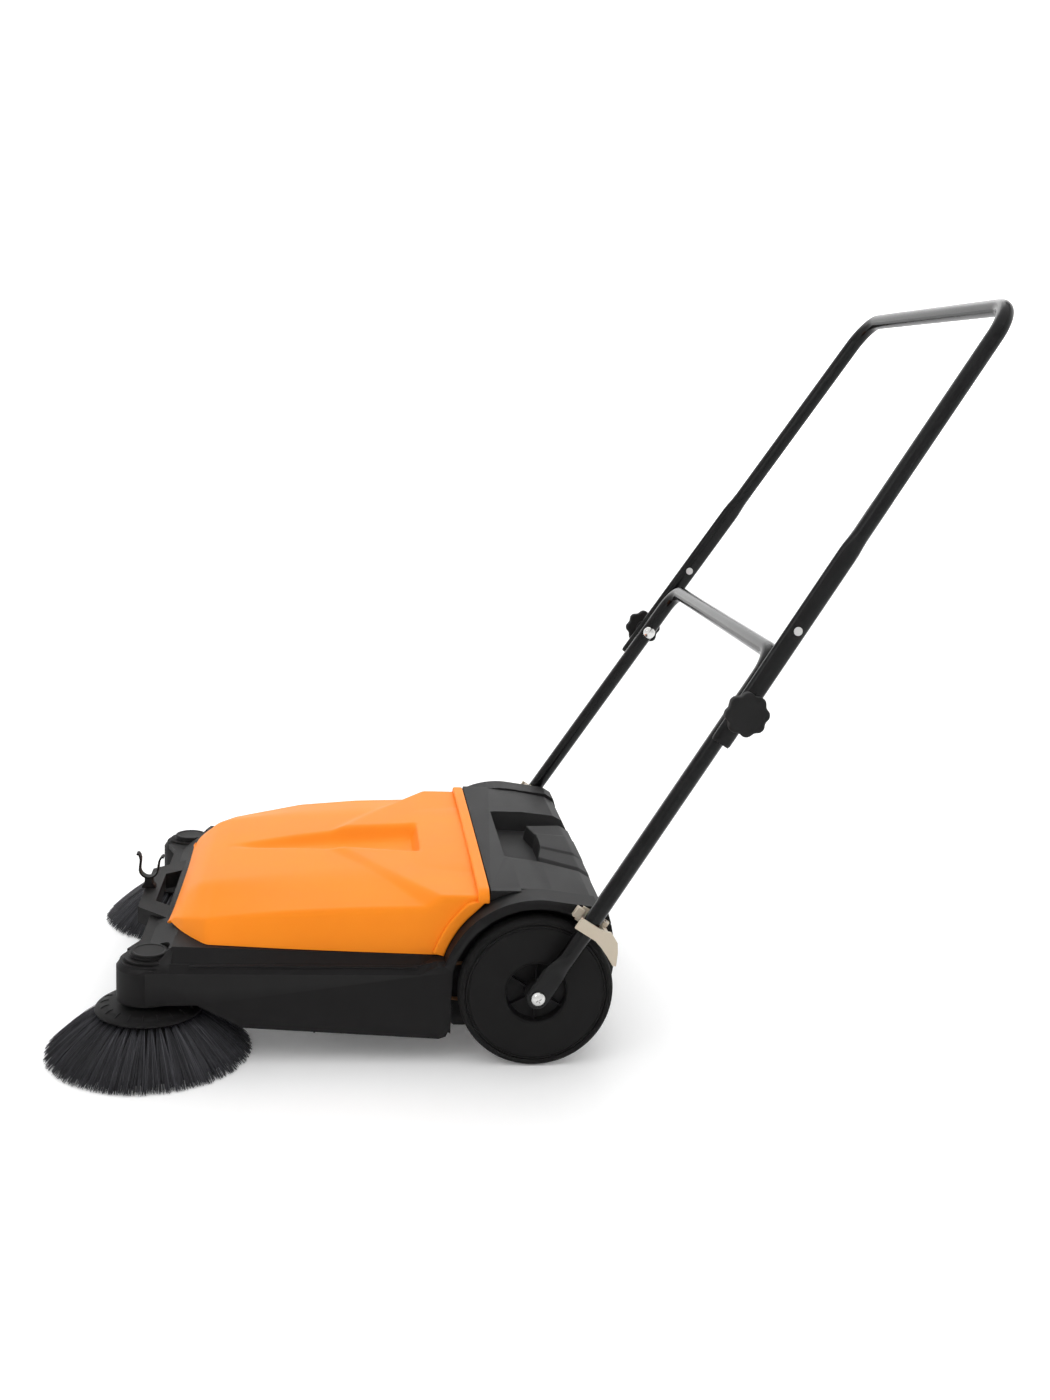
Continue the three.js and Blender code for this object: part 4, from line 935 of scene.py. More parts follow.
# ---------------------------------------------------------------- body
@dataclass
class Body(Assembly):
    """The black body: the moulded chassis, the caps over the brush spindles and the clip on the carry bar."""

    brush_x: float = 248.0
    brush_y: float = -489.0
    cap_radius: float = 24.7
    cap_low: float = 128.3
    cap_top: float = 136.0
    clip_y: float = -521.44
    clip_z: float = 161.0
    clip_bore: float = 11.5
    clip_wall: float = 2.4
    clip_half: float = 7.0
    clip_lean: float = 0.1164
    bead_x: float = 283.6
    bead_z: float = 127.6

    def chassis(self) -> None:
        """Builds the chassis with moulded edges."""
        piece = self.bench.refined("chassis", "chassis_shell", 1.6, 24.0)
        self.bench.shade(piece, 30.0)
        self.bench.place(piece, "body", "body_black", "chassis")

    def caps(self) -> None:
        """Builds the caps: a flat disc with a step, a lip and a shallow dish."""
        r, low, top = self.cap_radius, self.cap_low, self.cap_top
        profile = [
            (0, low), (r, low), (r, low + 3.4), (r - 1.2, low + 3.9), (r - 1.2, top - 1.0), (r - 2.4, top),
            (r - 5.2, top), (r - 6.2, top - 0.8), (0, top - 0.8),
        ]
        spindle = (self.brush_x, self.brush_y, 0)
        piece = self.bench.turned("boss_cap_dome", rounded(profile, 0.8, False, 3), spindle, Axis.Z, 96)
        self.bench.shade(piece, 40.0)
        self.bench.both_sides(piece, "boss_cap_dome", "body", "body_black", "boss_cap")

    def boss_step(self, radius: float, tail: float, low: float, top: float) -> Piece:
        """Builds one raised step round the boss, which runs back along the shoulder as a ridge.

        Args:
            radius: The step's radius round the spindle.
            tail: How far it runs back from the spindle.
            low: Its foot, sunk in the body.
            top: Its top.

        Returns:
            The step, on the left.
        """
        arc_steps = 32
        outline = []
        for k in range(arc_steps + 1):
            angle = -math.pi * k / arc_steps
            outline.append((math.cos(angle) * radius, math.sin(angle) * radius))
        outline += [(8 - radius, 12), (radius - 6, tail), (radius - 1.5, tail * 0.8)]
        rings = [[(self.brush_x + x, self.brush_y + y, z) for x, y in outline] for z in (low, top)]
        piece = self.bench.lofted("boss_step", rings)
        self.bench.soften(piece, 1.1, 3, 40)
        return piece

    def shoulder(self) -> None:
        """Builds the boss steps and the slim bead that runs along the body's shoulder."""
        steps = [
            self.boss_step(31.5, 82.0, 116.0, 129.6),
            self.boss_step(36.5, 62.0, 112.0, 125.6),
        ]
        bead_sides = 12
        rings = []
        for y in (-436.0, -433.0, -428.0, -300.0, -165.0, -158.0, -152.0):
            ease = float(smooth_step(y, -437.0, -427.0)) * (1 - float(smooth_step(y, -166.0, -151.0)))
            ring = []
            for k in range(bead_sides):
                angle = FULL_TURN * k / bead_sides
                z = self.bead_z + 0.8 * ease + math.sin(angle) * 1.7
                ring.append((self.bead_x + math.cos(angle) * 2.4, y, z))
            rings.append(ring)
        bead = self.bench.lofted("bead", rings)
        piece = self.bench.merge([*steps, bead], "shoulder_detail")
        self.bench.shade(piece, 35.0)
        self.bench.both_sides(piece, "shoulder_detail", "body", "body_black")

    def nose(self) -> None:
        """Builds the sloping nose that leads the shoulder down to the boss, cleared round the cap."""
        sections = [
            (-458.5, [(289.6, 117), (289.6, 120.6), (282, 130.4), (262, 145.2), (200, 145.4), (200, 117)]),
            (-474.0, [(288.0, 117), (288.0, 120.4), (281, 127.6), (262, 134.0), (200, 135.0), (200, 117)]),
            (-489.0, [(285.0, 117), (285.0, 119.8), (279, 124.0), (262, 127.6), (200, 128.0), (200, 117)]),
            (-503.0, [(274.0, 117), (274.0, 118.6), (270, 121.0), (258, 124.4), (200, 126.5), (200, 117)]),
        ]
        piece = self.bench.lofted("shoulder_nose", [[(x, y, z) for x, z in flat] for y, flat in sections])
        reach = self.cap_radius + 1.6
        seat = [(0, self.cap_low - 0.6), (reach, self.cap_low - 0.6), (reach, 170), (0, 170)]
        spindle = (self.brush_x, self.brush_y, 0)
        self.bench.combine(piece, self.bench.turned("seat", seat, spindle, Axis.Z, 64))
        self.bench.soften(piece, 1.2, 3, 25)
        self.bench.shade(piece, 30.0)
        self.bench.both_sides(piece, "shoulder_nose", "body", "body_black")

    def clip(self) -> None:
        """Builds the spring clip: two thin arms with curled tips on a foot."""
        bore, wall = self.clip_bore, self.clip_wall
        arm = [
            (bore + 7.4, 19.2), (bore + 5.2, 20.2), (bore + 3.2, 17.6), (bore + 1.4, 13.0),
            (bore + 1.2 - 0.1, 8.0), (bore + 1.2, 3.0),
        ]
        bow_radius = bore + wall / 2
        bow = [-math.pi * k / 12 for k in range(1, 12)]
        centre = [*arm, *[(math.cos(a) * bow_radius, math.sin(a) * bow_radius) for a in bow]]
        centre += [(-u, w) for u, w in reversed(arm)]
        path = [Vector(p) for p in centre]
        outer, inner = [], []
        for i, point in enumerate(path):
            ahead = (path[min(i + 1, len(path) - 1)] - path[max(i - 1, 0)]).normalized()
            normal = Vector((-ahead.y, ahead.x))
            thick = wall / 2 * (1.35 if i in (0, len(path) - 1) else 1.0)
            outer.append(point + normal * thick)
            inner.append(point - normal * thick)
        cos, sin = math.cos(self.clip_lean), math.sin(self.clip_lean)
        flat = [
            (self.clip_y + u * cos + w * sin, self.clip_z - u * sin + w * cos)
            for u, w in outer + list(reversed(inner))
        ]
        fork = self.bench.slab("clip_fork", flat, -self.clip_half, self.clip_half, 0.7)
        foot_profile = [
            (-10, 133.4), (10, 133.4), (9, 137), (5.5, 141), (5.5, 149.2), (-5.5, 149.2), (-5.5, 141),
            (-9, 137),
        ]
        flat = [(self.clip_y + y, z) for y, z in rounded(foot_profile, 1.5, True, 3)]
        foot = self.bench.slab("clip_foot", flat, -self.clip_half, self.clip_half, 0.7)
        piece = self.bench.merge([fork, foot], "clip_spring")
        self.bench.shade(piece, 35.0)
        self.bench.place(piece, "body", "body_black", "snap_clip")

    def build(self) -> None:
        """Builds, dresses and places the body's pieces."""
        self.chassis()
        self.shoulder()
        self.nose()
        self.caps()
        self.clip()


@dataclass
class Hopper(Assembly):
    """The dirt hopper: a hollow bin, a top that reaches over the arches, and a grip recess with a tongue."""

    half: float = 234.0
    top_half: float = 244.0
    crest_half: float = 254.0
    front: float = -59.5
    top_low: float = 175.0
    arch_radius: float = 123.0
    axle_z: float = 100.0
    recess_front: float = -28.0
    recess_rear: float = 135.0
    recess_floor_front: float = 194.0
    recess_floor_rear: float = 176.0
    tongue_front: float = 24.0
    tongue_rear: float = 97.0
    edge: float = 2.6
    wall: float = 3.0
    pocket_z: float = 167.0

    def bin(self) -> Piece:
        """Builds the hopper's outside without its recess.

        Returns:
            The form.
        """
        front, low = self.front, self.top_low
        ridge = [(front, 221.5), (-20, 221.3), (22, 218.0), (72, 209.5), (87, 201.0)]
        top = [(front, low), *ridge, (100, low)]
        lower = [(front, 40.0), *ridge, (104.0, 168.0), (112.0, 130.0), (104.0, 60.0), (92.0, 40.0)]
        piece = self.bench.slab("hopper_shell", lower, -self.half, self.half)
        self.bench.combine(piece, self.bench.slab("top", top, -self.top_half, self.top_half), "UNION")
        crest = [(front, low), (front, 221.5), (-20, 221.3), (-3, 220.0), (-3, low)]
        self.bench.combine(piece, self.bench.slab("crest", crest, -self.crest_half, self.crest_half), "UNION")
        for side in Side:
            near, far = (self.top_half - 0.5) * side.value, (self.crest_half + 4) * side.value
            profile = [(0, near), (self.arch_radius, near), (self.arch_radius, far), (0, far)]
            self.bench.combine(piece, self.bench.turned("arch", profile, (0, 0, self.axle_z), Axis.X, 96))
        return piece

    def recess(self) -> Piece:
        """Builds the form that is cut out as the grip recess, with a floor that falls to the rear."""
        low, high = self.recess_floor_front, self.recess_floor_rear
        front, rear = self.recess_front, self.recess_rear
        floor = [(-108, front + 5, low), (108, front + 5, low), (146, rear, high), (-146, rear, high)]
        roof = [(-113, front - 4, 245), (113, front - 4, 245), (156, rear, 245), (-156, rear, 245)]
        return self.bench.lofted("recess", [floor, roof])

    def cavity(self) -> Piece:
        """Builds the form of the dirt space, which opens to the front and stays clear of the grip recess.

        Returns:
            The form to cut out.
        """
        front, half = self.front - 2.0, self.half - self.wall
        profile = [
            (front, 54.0), (front, 217.5), (-20, 217.3), (21, 214.2), (70, 206.0), (84, 198.0), (100, 166.0),
            (108.0, 130.0), (100.0, 61.0), (90.0, 43.0), (self.front + 6, 43.0),
        ]
        piece = self.bench.slab("cavity", profile, -half, half)
        near, rear = self.recess_front - 7.0, self.recess_rear
        corners = [(-116, near), (116, near), (159, rear), (-159, rear)]
        rings = [[(x, y, z) for x, y in corners] for z in (self.pocket_z, 245.0)]
        self.bench.combine(piece, self.bench.lofted("pocket", rings))
        return piece

    def tongue(self) -> Piece:
        """Builds the raised tongue, a little gabled, with wedge-shaped ends and a front edge that bends back.

        Returns:
            The tongue.
        """
        rings = []
        for share in (-1.0, -0.9, -0.42, -0.36, 0.0, 0.36, 0.42, 0.9, 1.0):
            away = abs(share)
            front = self.tongue_front + 9.0 * (1 - float(smooth_step(away, 0.3, 0.75)))
            drop = 7.0 if away > 0.95 else 2.5 * float(smooth_step(away, 0.34, 0.44))
            x_front, x_rear = 84.0 * share, 113.0 * share
            rings.append([
                (x_front, front - 6.0, 170.0), (x_front, front, 212.5 - drop), (x_rear, 78.0, 206.0 - drop),
                (x_rear, self.tongue_rear - 5.0, 197.5 - drop), (x_rear, self.tongue_rear + 4.0, 170.0),
            ])
        return self.bench.lofted("tongue", rings)

    def build(self) -> None:
        """Builds, dresses and places the hopper."""
        piece = self.bin()
        self.bench.combine(piece, self.recess())
        self.bench.soften(piece, self.edge, 4, 18)
        self.bench.combine(piece, self.cavity())
        tongue = self.tongue()
        self.bench.soften(tongue, 2.0, 4, 16)
        piece = self.bench.merge([piece, tongue], "hopper_shell")
        self.bench.shade(piece, 30.0)
        self.bench.place(piece, "hopper", "top_black", "hopper")


# ---------------------------------------------------------------- wheels
@dataclass
class Wheels(Assembly):
    """The two large wheels: a disc with a fine groove and a ribbed hub recess, and a soft tyre."""

    axle_z: float = 100.0
    radius: float = 100.0
    tyre: float = 9.0
    outer: float = 298.0
    inner: float = 268.0
    groove: float = 87.5
    recess: float = 39.0
    hub: float = 14.0
    bore: float = 8.3
    ribs: int = 6

    def disc(self) -> Piece:
        """Builds the left wheel's disc with its ribs.

        Returns:
            The disc.
        """
        out, rim, g = self.outer, self.radius - self.tyre - 0.1, self.groove
        back, hub, recess = self.inner, self.hub, self.recess
        profile = [
            (self.bore, back + 12), (hub, back + 12), (hub, out - 17), (recess + 3, out - 17),
            (recess + 6, out - 6), (rim - 9, out - 6), (rim - 5, back + 3), (rim, back + 3),
            (rim, out - 2.2), (rim - 1.2, out - 1.0), (g + 0.9, out - 1.0), (g + 0.6, out - 2.0),
            (g - 0.6, out - 2.0), (g - 0.9, out - 1.0), (recess + 2.5, out - 0.6), (recess, out - 2.4),
            (recess - 1.5, out - 12.5), (hub + 1.5, out - 13.5), (hub, out - 3), (self.bore, out - 3),
        ]
        axle = (0, 0, self.axle_z)
        disc = self.bench.turned("disc", rounded(profile, 0.9, True, 3), axle, Axis.X, 144, True)
        ribs = [self.rib(FULL_TURN * i / self.ribs + math.pi / 6) for i in range(self.ribs)]
        return self.bench.merge([disc, *ribs], "wheel_disc")

    def rib(self, angle: float) -> Piece:
        """Builds one thin rib across the hub recess.

        Args:
            angle: The rib's direction from the axle.

        Returns:
            The rib.
        """
        along = Vector((0, math.cos(angle), math.sin(angle)))
        across = Vector((0, -math.sin(angle), math.cos(angle)))
        rings = []
        foot = self.outer - 15
        for distance, top in ((self.hub - 1, self.outer - 4.5), (self.recess + 0.5, self.outer - 7.0)):
            corners = rounded([(-0.9, foot), (0.9, foot), (0.7, top), (-0.7, top)], 0.4, True, 2)
            centre = Vector((0, 0, self.axle_z)) + along * distance
            rings.append([tuple(centre + across * u + Vector((x, 0, 0))) for u, x in corners])
        return self.bench.lofted("rib", rings)

    def tread(self) -> Piece:
        """Builds the left tyre, with rounded shoulders and a shallow side groove.

        Returns:
            The tyre.
        """
        r, low, out = self.radius, self.radius - self.tyre + 0.1, self.outer
        profile = [
            (low, self.inner + 0.5), (r - 5, self.inner), (r - 1.0, self.inner + 3.5), (r, self.inner + 8),
            (r, out - 8), (r - 1.2, out - 3.0), (r - 4.5, out - 0.2), (low + 2.2, out),
            (low + 1.4, out - 0.9), (low, out - 0.9),
        ]
        outline = rounded(profile, 1.6, True, 3)
        return self.bench.turned("tyre_tread", outline, (0, 0, self.axle_z), Axis.X, 160, True)

    def build(self) -> None:
        """Builds, dresses and places both wheels and tyres."""
        disc = self.disc()
        self.bench.shade(disc, 40.0)
        self.bench.both_sides(disc, "wheel_disc", "{side}_wheel", "wheel_black", "wheel")
        tread = self.tread()
        self.bench.shade(tread, 50.0)
        self.bench.both_sides(tread, "tyre_tread", "{side}_wheel", "tyre_rubber", "tyre")


# ---------------------------------------------------------------- bristles
@dataclass
class StrandField(Assembly):
    """Many thin bristles in one mesh, each a tapering prism along a bowed line."""

    sides: int = 3
    spans: int = 4
    root_radius: float = 0.5
    tip_radius: float = 0.34

    def mesh(self, name: str, roots: np.ndarray, tips: np.ndarray, bows: np.ndarray) -> Piece:
        """Builds the bristles.

        Args:
            name: The piece's name.
            roots: Where each bristle starts.
            tips: Where each ends.
            bows: How far the middle of each is pushed aside.

        Returns:
            The piece.
        """
        count = len(roots)
        shares = np.linspace(0, 1, self.spans + 1)
        lines = roots[:, None] * (1 - shares)[None, :, None] + tips[:, None] * shares[None, :, None]
        lines = lines + bows[:, None] * (4 * shares * (1 - shares))[None, :, None]
        ahead = tips - roots
        ahead /= np.linalg.norm(ahead, axis=1, keepdims=True)
        guide = np.where(np.abs(ahead[:, 2:3]) > 0.95, [[1.0, 0, 0]], [[0, 0, 1.0]])
        across = np.cross(ahead, guide)
        across /= np.linalg.norm(across, axis=1, keepdims=True)
        up = np.cross(across, ahead)
        radii = self.root_radius + (self.tip_radius - self.root_radius) * shares
        angles = np.arange(self.sides) * FULL_TURN / self.sides
        ring = across[:, None, None] * np.cos(angles)[None, None, :, None]
        ring = ring + up[:, None, None] * np.sin(angles)[None, None, :, None]
        points = lines[:, :, None] + ring * radii[None, :, None, None]
        per = (self.spans + 1) * self.sides
        faces = []
        for s in range(self.spans):
            for k in range(self.sides):
                a, b = s * self.sides + k, s * self.sides + (k + 1) % self.sides
                faces.append((a, b, b + self.sides, a + self.sides))
        starts = (np.arange(count) * per)[:, None]
        quads = np.array(faces)[None] + starts[:, None]
        root_caps = np.arange(self.sides)[::-1][None] + starts
        tip_caps = np.arange(self.sides)[None] + starts + self.spans * self.sides
        mesh = bpy.data.meshes.new(name)
        polygons = [*quads.reshape(-1, 4).tolist(), *root_caps.tolist(), *tip_caps.tolist()]
        mesh.from_pydata(self.bench.to_frame(points.reshape(-1, 3)).tolist(), [], polygons)
        # Each strand's share of the paler colour, partly a varied tone and partly a painted highlight.
        shade = np.repeat(np.random.default_rng(5).random(count) ** 2 * 0.8, per)
        attribute = mesh.attributes.new("strand", "FLOAT", "POINT")
        attribute.data.foreach_set("value", shade.astype(np.float32))
        piece = linked(name, mesh)
        if faces_inwards(piece):
            mesh.flip_normals()
        self.bench.choose(piece)
        bpy.ops.object.shade_smooth()
        return piece


@dataclass
class SideBrushes(Assembly):
    """The two side brushes: a dished plate with ribs, and tufts of bristles that fan out to the floor."""

    x: float = 248.0
    y: float = -489.0
    plate_radius: float = 67.0
    plate_z: float = 58.0
    tip_radius: float = 130.5
    tufts: int = 40
    strands: int = 104
    root_spread: float = 0.034
    tip_spread: float = 0.089
    root_ring: Flat = (50.0, 10.5)
    tip_ring: Flat = (113.0, 16.5)
    plate_ribs: int = 20

    def plate(self) -> Piece:
        """Builds the plate with its ribs.

        Returns:
            The plate.
        """
        r, z = self.plate_radius, self.plate_z
        profile = [
            (5.4, 56), (16, 56), (18, 60), (r - 14, z + 2.5), (r - 3, z - 0.5), (r, z + 0.8), (r, z + 3.4),
            (r - 3.5, z + 5.8), (r - 9, z + 7.6), (r - 12, z + 9.4), (r - 17, z + 10.2), (30, z + 11.5),
            (22, 73), (5.4, 73),
        ]
        outline = rounded(profile, 1.6, True, 3)
        plate = self.bench.turned("plate", outline, (self.x, self.y, 0), Axis.Z, 96, True)
        ribs = [self.rib(FULL_TURN * i / self.plate_ribs) for i in range(self.plate_ribs)]
        return self.bench.merge([plate, *ribs], "brush_plate_dish")

    def rib(self, angle: float) -> Piece:
        """Builds one short raised rib on the plate's rim.

        Args:
            angle: Its direction from the spindle.

        Returns:
            The rib.
        """
        along = Vector((math.cos(angle), math.sin(angle), 0))
        across = Vector((-math.sin(angle), math.cos(angle), 0))
        rings = []
        for distance, top in ((50.0, 69.0), (55.5, 68.2), (60.5, 65.6)):
            corners = rounded([(-1.1, top - 3.0), (1.1, top - 3.0), (0.7, top), (-0.7, top)], 0.5, True, 2)
            centre = Vector((self.x, self.y, 0)) + along * distance
            rings.append([tuple(centre + across * u + Vector((0, 0, z))) for u, z in corners])
        return self.bench.lofted("plate_rib", rings)

    @staticmethod
    def around(angle: np.ndarray, radius: np.ndarray, z: np.ndarray) -> np.ndarray:
        """Points round the spindle, as x and y from it and z, for angles, radii and heights."""
        return np.stack([np.cos(angle) * radius, np.sin(angle) * radius, z], axis=1)

    def bristles(self) -> Piece:
        """Builds the fan of bristles, tuft by tuft.

        Returns:
            The bristles.
        """
        random = np.random.default_rng(11)
        total = self.tufts * self.strands
        tuft = np.repeat(np.arange(self.tufts), self.strands) * FULL_TURN / self.tufts
        spread = random.uniform(-1, 1, total)
        depth = random.random(total)
        root_angle = tuft + spread * self.root_spread
        root_radius = self.root_ring[0] + self.root_ring[1] * depth
        tip_angle = tuft + spread * self.tip_spread + random.normal(0, 0.01, total)
        reach = self.tip_ring[0] + self.tip_ring[1] * depth + random.normal(0, 1.1, total)
        tip_radius = np.minimum(reach, self.tip_radius - 0.4)
        tip_z = 0.45 + np.abs(random.normal(0, 1.3, total)) + (1 - depth) * 1.5
        centre = np.array([self.x, self.y, 0.0])
        roots = centre + self.around(root_angle, root_radius, np.full(total, self.plate_z + 0.5))
        tips = centre + self.around(tip_angle, tip_radius, tip_z)
        bow = self.around(tip_angle, 2.0 + random.normal(0, 0.8, total), 2.2 + random.normal(0, 0.6, total))
        return StrandField(self.bench).mesh("bristle_fan", roots, tips, bow)

    def roots(self) -> Piece:
        """Builds the dark cone of packed bristle roots behind the visible ones.

        Returns:
            The cone.
        """
        profile = [(40, 58.5), (57, 57.5), (112, 6), (106, 5), (52, 52), (40, 55)]
        return self.bench.turned("bristle_roots", profile, (self.x, self.y, 0), Axis.Z, 80, True)

    def build(self) -> None:
        """Builds, dresses and places both side brushes."""
        plate = self.plate()
        self.bench.shade(plate, 40.0)
        self.bench.both_sides(plate, "brush_plate_dish", "{side}_brush", "body_black", "brush_plate")
        fan = self.bristles()
        self.bench.both_sides(fan, "bristle_fan", "{side}_brush", "bristle_grey", "bristles")
        cone = self.roots()
        self.bench.shade(cone, 40.0)
        self.bench.both_sides(cone, "bristle_roots", "{side}_brush", "bristle_grey", finish=BRISTLE_BASE)


@dataclass
class MainBrush(Assembly):
    """The main brush roller: rows of tufts that wind round its core."""

    y: float = -192.0
    z: float = 72.0
    core_radius: float = 22.0
    half: float = 210.0
    tip_radius: float = 67.0
    rows: int = 10
    tufts: int = 36
    strands: int = 14
    twist: float = 0.5

    def around(self, x: np.ndarray, angle: np.ndarray, radius: np.ndarray | float) -> np.ndarray:
        """Points round the shaft, for places along it, angles and radii."""
        return np.stack([x, self.y + np.cos(angle) * radius, self.z + np.sin(angle) * radius], axis=1)

    def build(self) -> None:
        """Builds, dresses and places the roller's bristles."""
        random = np.random.default_rng(23)
        per_row = self.tufts * self.strands
        row = np.repeat(np.arange(self.rows), per_row)
        place = np.tile(np.repeat(np.linspace(-1, 1, self.tufts), self.strands), self.rows)
        total = len(row)
        angle = row * FULL_TURN / self.rows + place * self.twist + random.normal(0, 0.03, total)
        x = place * self.half + random.normal(0, 1.4, total)
        tip_x = np.clip(x + random.normal(0, 2.2, total), -self.half - 2, self.half + 2)
        roots = self.around(x, angle, self.core_radius - 0.5)
        tip_angle = angle + random.normal(0, 0.035, total)
        tips = self.around(tip_x, tip_angle, self.tip_radius - np.abs(random.normal(0, 1.0, total)))
        strands = StrandField(self.bench, spans=2, root_radius=0.7, tip_radius=0.5)
        piece = strands.mesh("roller_tufts", roots, tips, np.zeros((total, 3)))
        self.bench.place(piece, "roller", "bristle_grey", "roller_bristles")


# ---------------------------------------------------------------- handle
@dataclass
class HandleLine:
    """The line of the handle's legs: their lean, and how they draw together towards the top."""

    lean: float = 1.016
    axle_z: float = 100.0
    knob_at: float = 445.0
    knob_half: float = 291.5
    lower_slope: float = 0.065
    upper_slope: float = 0.08
    tube: float = 11.0
    oval: float = 15.0

    def point(self, x: float, t: float, f: float = 0.0) -> Vector:
        """A point beside the leg's line.

        Args:
            x: Its distance to the side.
            t: Its distance along the leg, from the axle.
            f: Its distance in front of the leg.

        Returns:
            The point.
        """
        cos, sin = math.cos(self.lean), math.sin(self.lean)
        return Vector((x, t * cos - f * sin, self.axle_z + t * sin + f * cos))

    def lower_half(self, t: float) -> float:
        """Half the spacing of the lower legs."""
        return self.knob_half + self.lower_slope * (self.knob_at - t)

    def upper_half(self, t: float) -> float:
        """Half the spacing of the upper legs."""
        return self.knob_half + self.tube + self.oval / 2 + 1.0 - self.upper_slope * (t - self.knob_at)


@dataclass
class Handle(Assembly):
    """The folding handle: two bent tubes, the clamping knobs, bolts and plugs."""

    line: HandleLine = field(default_factory=HandleLine)
    crossbar_at: float = 525.0
    grip_at: float = 1038.5
    upper_end: float = 396.0
    oval_until: float = 676.0
    oval_fade: float = 28.0
    pressed: Flat = (30.0, 68.0)
    oval_width: float = 26.0
    plug_at: float = 563.6
    spade: float = 6.0
    spade_radius: float = 14.6
    lower_bend: float = 36.0
    upper_bend: float = 48.0
    knob_radius: float = 28.0
    lobes: int = 8
    around: int = 32

    def frame_line(
        self, half: Callable[[float], float], start: float, top: float, bend: float, marks: Sequence[float]
    ) -> list[Station]:
        """Stations of a U-shaped tube: up the left leg, over the bar and down the right one.

        Args:
            half: Half the legs' spacing at a distance along them.
            start: Where the legs start.
            top: Where the bar lies.
            bend: The radius of both bends.
            marks: Distances along the legs that get a station.

        Returns:
            Each station's point and direction.
        """
        corner = self.line.point(half(top), top)
        foot = self.line.point(half(start), start)
        up = (corner - foot).normalized()
        over = Vector((-1, 0, 0))
        turn = up.angle(over)
        setback = bend * math.tan(turn / 2)
        inward = (over - up * over.dot(up)).normalized()
        left = [(self.line.point(half(t), t), up) for t in marks]
        arc_start = corner - up * setback
        steps = 12
        for k in range(steps + 1):
            a = turn * k / steps
            point = arc_start + up * bend * math.sin(a) + inward * bend * (1 - math.cos(a))
            left.append((point, up * math.cos(a) + inward * math.sin(a)))
        flip = Matrix.Diagonal((-1.0, 1.0, 1.0))
        right = [(flip @ p, (flip @ d) * -1) for p, d in reversed(left)]
        return left + right

    def swept(
        self, name: str, stations: list[Station], section: Callable[[float], Point]
    ) -> Piece:
        """Sweeps an oval section along stations.

        Args:
            name: The piece's name.
            stations: Each station's point and direction.
            section: At a distance along the leg, half the width, half the depth and a sideways shift.

        Returns:
            The tube.
        """
        front = self.line.point(0, 0, 1) - self.line.point(0, 0)
        up_leg = self.line.point(0, 1) - self.line.point(0, 0)
        base = self.line.point(0, 0)
        rings = []
        for point, ahead in stations:
            across = front.cross(ahead).normalized()
            t = (point - base).dot(up_leg)
            wide, deep, shift = section(t)
            outward = 1.0 if point.x > 0 else -1.0
            centre = point + Vector((outward * shift, 0, 0))
            ring = []
            for k in range(self.around):
                a = FULL_TURN * k / self.around
                ring.append(tuple(centre + across * math.cos(a) * wide + front * math.sin(a) * deep))
            rings.append(ring)
        return self.bench.lofted(name, rings)

    def lower(self) -> None:
        """Builds the lower tube, its ends pressed flat and rounded over the axle bolts."""
        tube, flat_half, r = self.line.tube, self.spade / 2, self.spade_radius

        def section(t: float) -> Point:
            """The section's half sizes and shift at a distance along the leg."""
            pressed = 1 - float(smooth_step(t, *self.pressed))
            wide = tube + (flat_half - tube) * pressed
            deep = tube + (r - tube) * pressed
            if t < 0:
                deep = math.sqrt(max(r**2 - t**2, 0.25))
            return wide, deep, -pressed * (tube - flat_half)

        marks = [-14.4, -14, -13, -11.5, -9, -6, -3, 0, 10, 20, 28, 32, 37, 42, 48, 54, 60, 65, 70]
        marks += [100, 300, 440]
        stations = self.frame_line(self.line.lower_half, 0, self.crossbar_at, self.lower_bend, marks)
        piece = self.swept("lower_handle_tube", stations, section)
        self.bench.shade(piece, 40.0, weighted=False)
        self.bench.place(piece, "lower_handle", "tube_black", "lower_handle")

    def upper(self) -> None:
        """Builds the upper tube, oval beside the lower legs and round at the grip."""
        tube = self.line.tube

        def section(t: float) -> Point:
            """The section's half sizes and shift at a distance along the leg."""
            oval = 1 - float(smooth_step(t, self.oval_until, self.oval_until + self.oval_fade))
            wide = tube + (self.line.oval / 2 - tube) * oval
            deep = tube + (self.oval_width / 2 - tube) * oval
            ease = float(smooth_step(t, self.upper_end - 1, self.upper_end + 4))
            return wide * (0.8 + 0.2 * ease), deep * (0.88 + 0.12 * ease), 0.0

        end = self.upper_end
        marks = [end, end + 1, end + 2.5, end + 4, 440, 560, 675, 682, 690, 697, 705, 800, 960]
        stations = self.frame_line(self.line.upper_half, end, self.grip_at, self.upper_bend, marks)
        piece = self.swept("upper_handle_tube", stations, section)
        self.bench.shade(piece, 40.0, weighted=False)
        self.bench.place(piece, "upper_handle", "tube_black", "upper_handle")

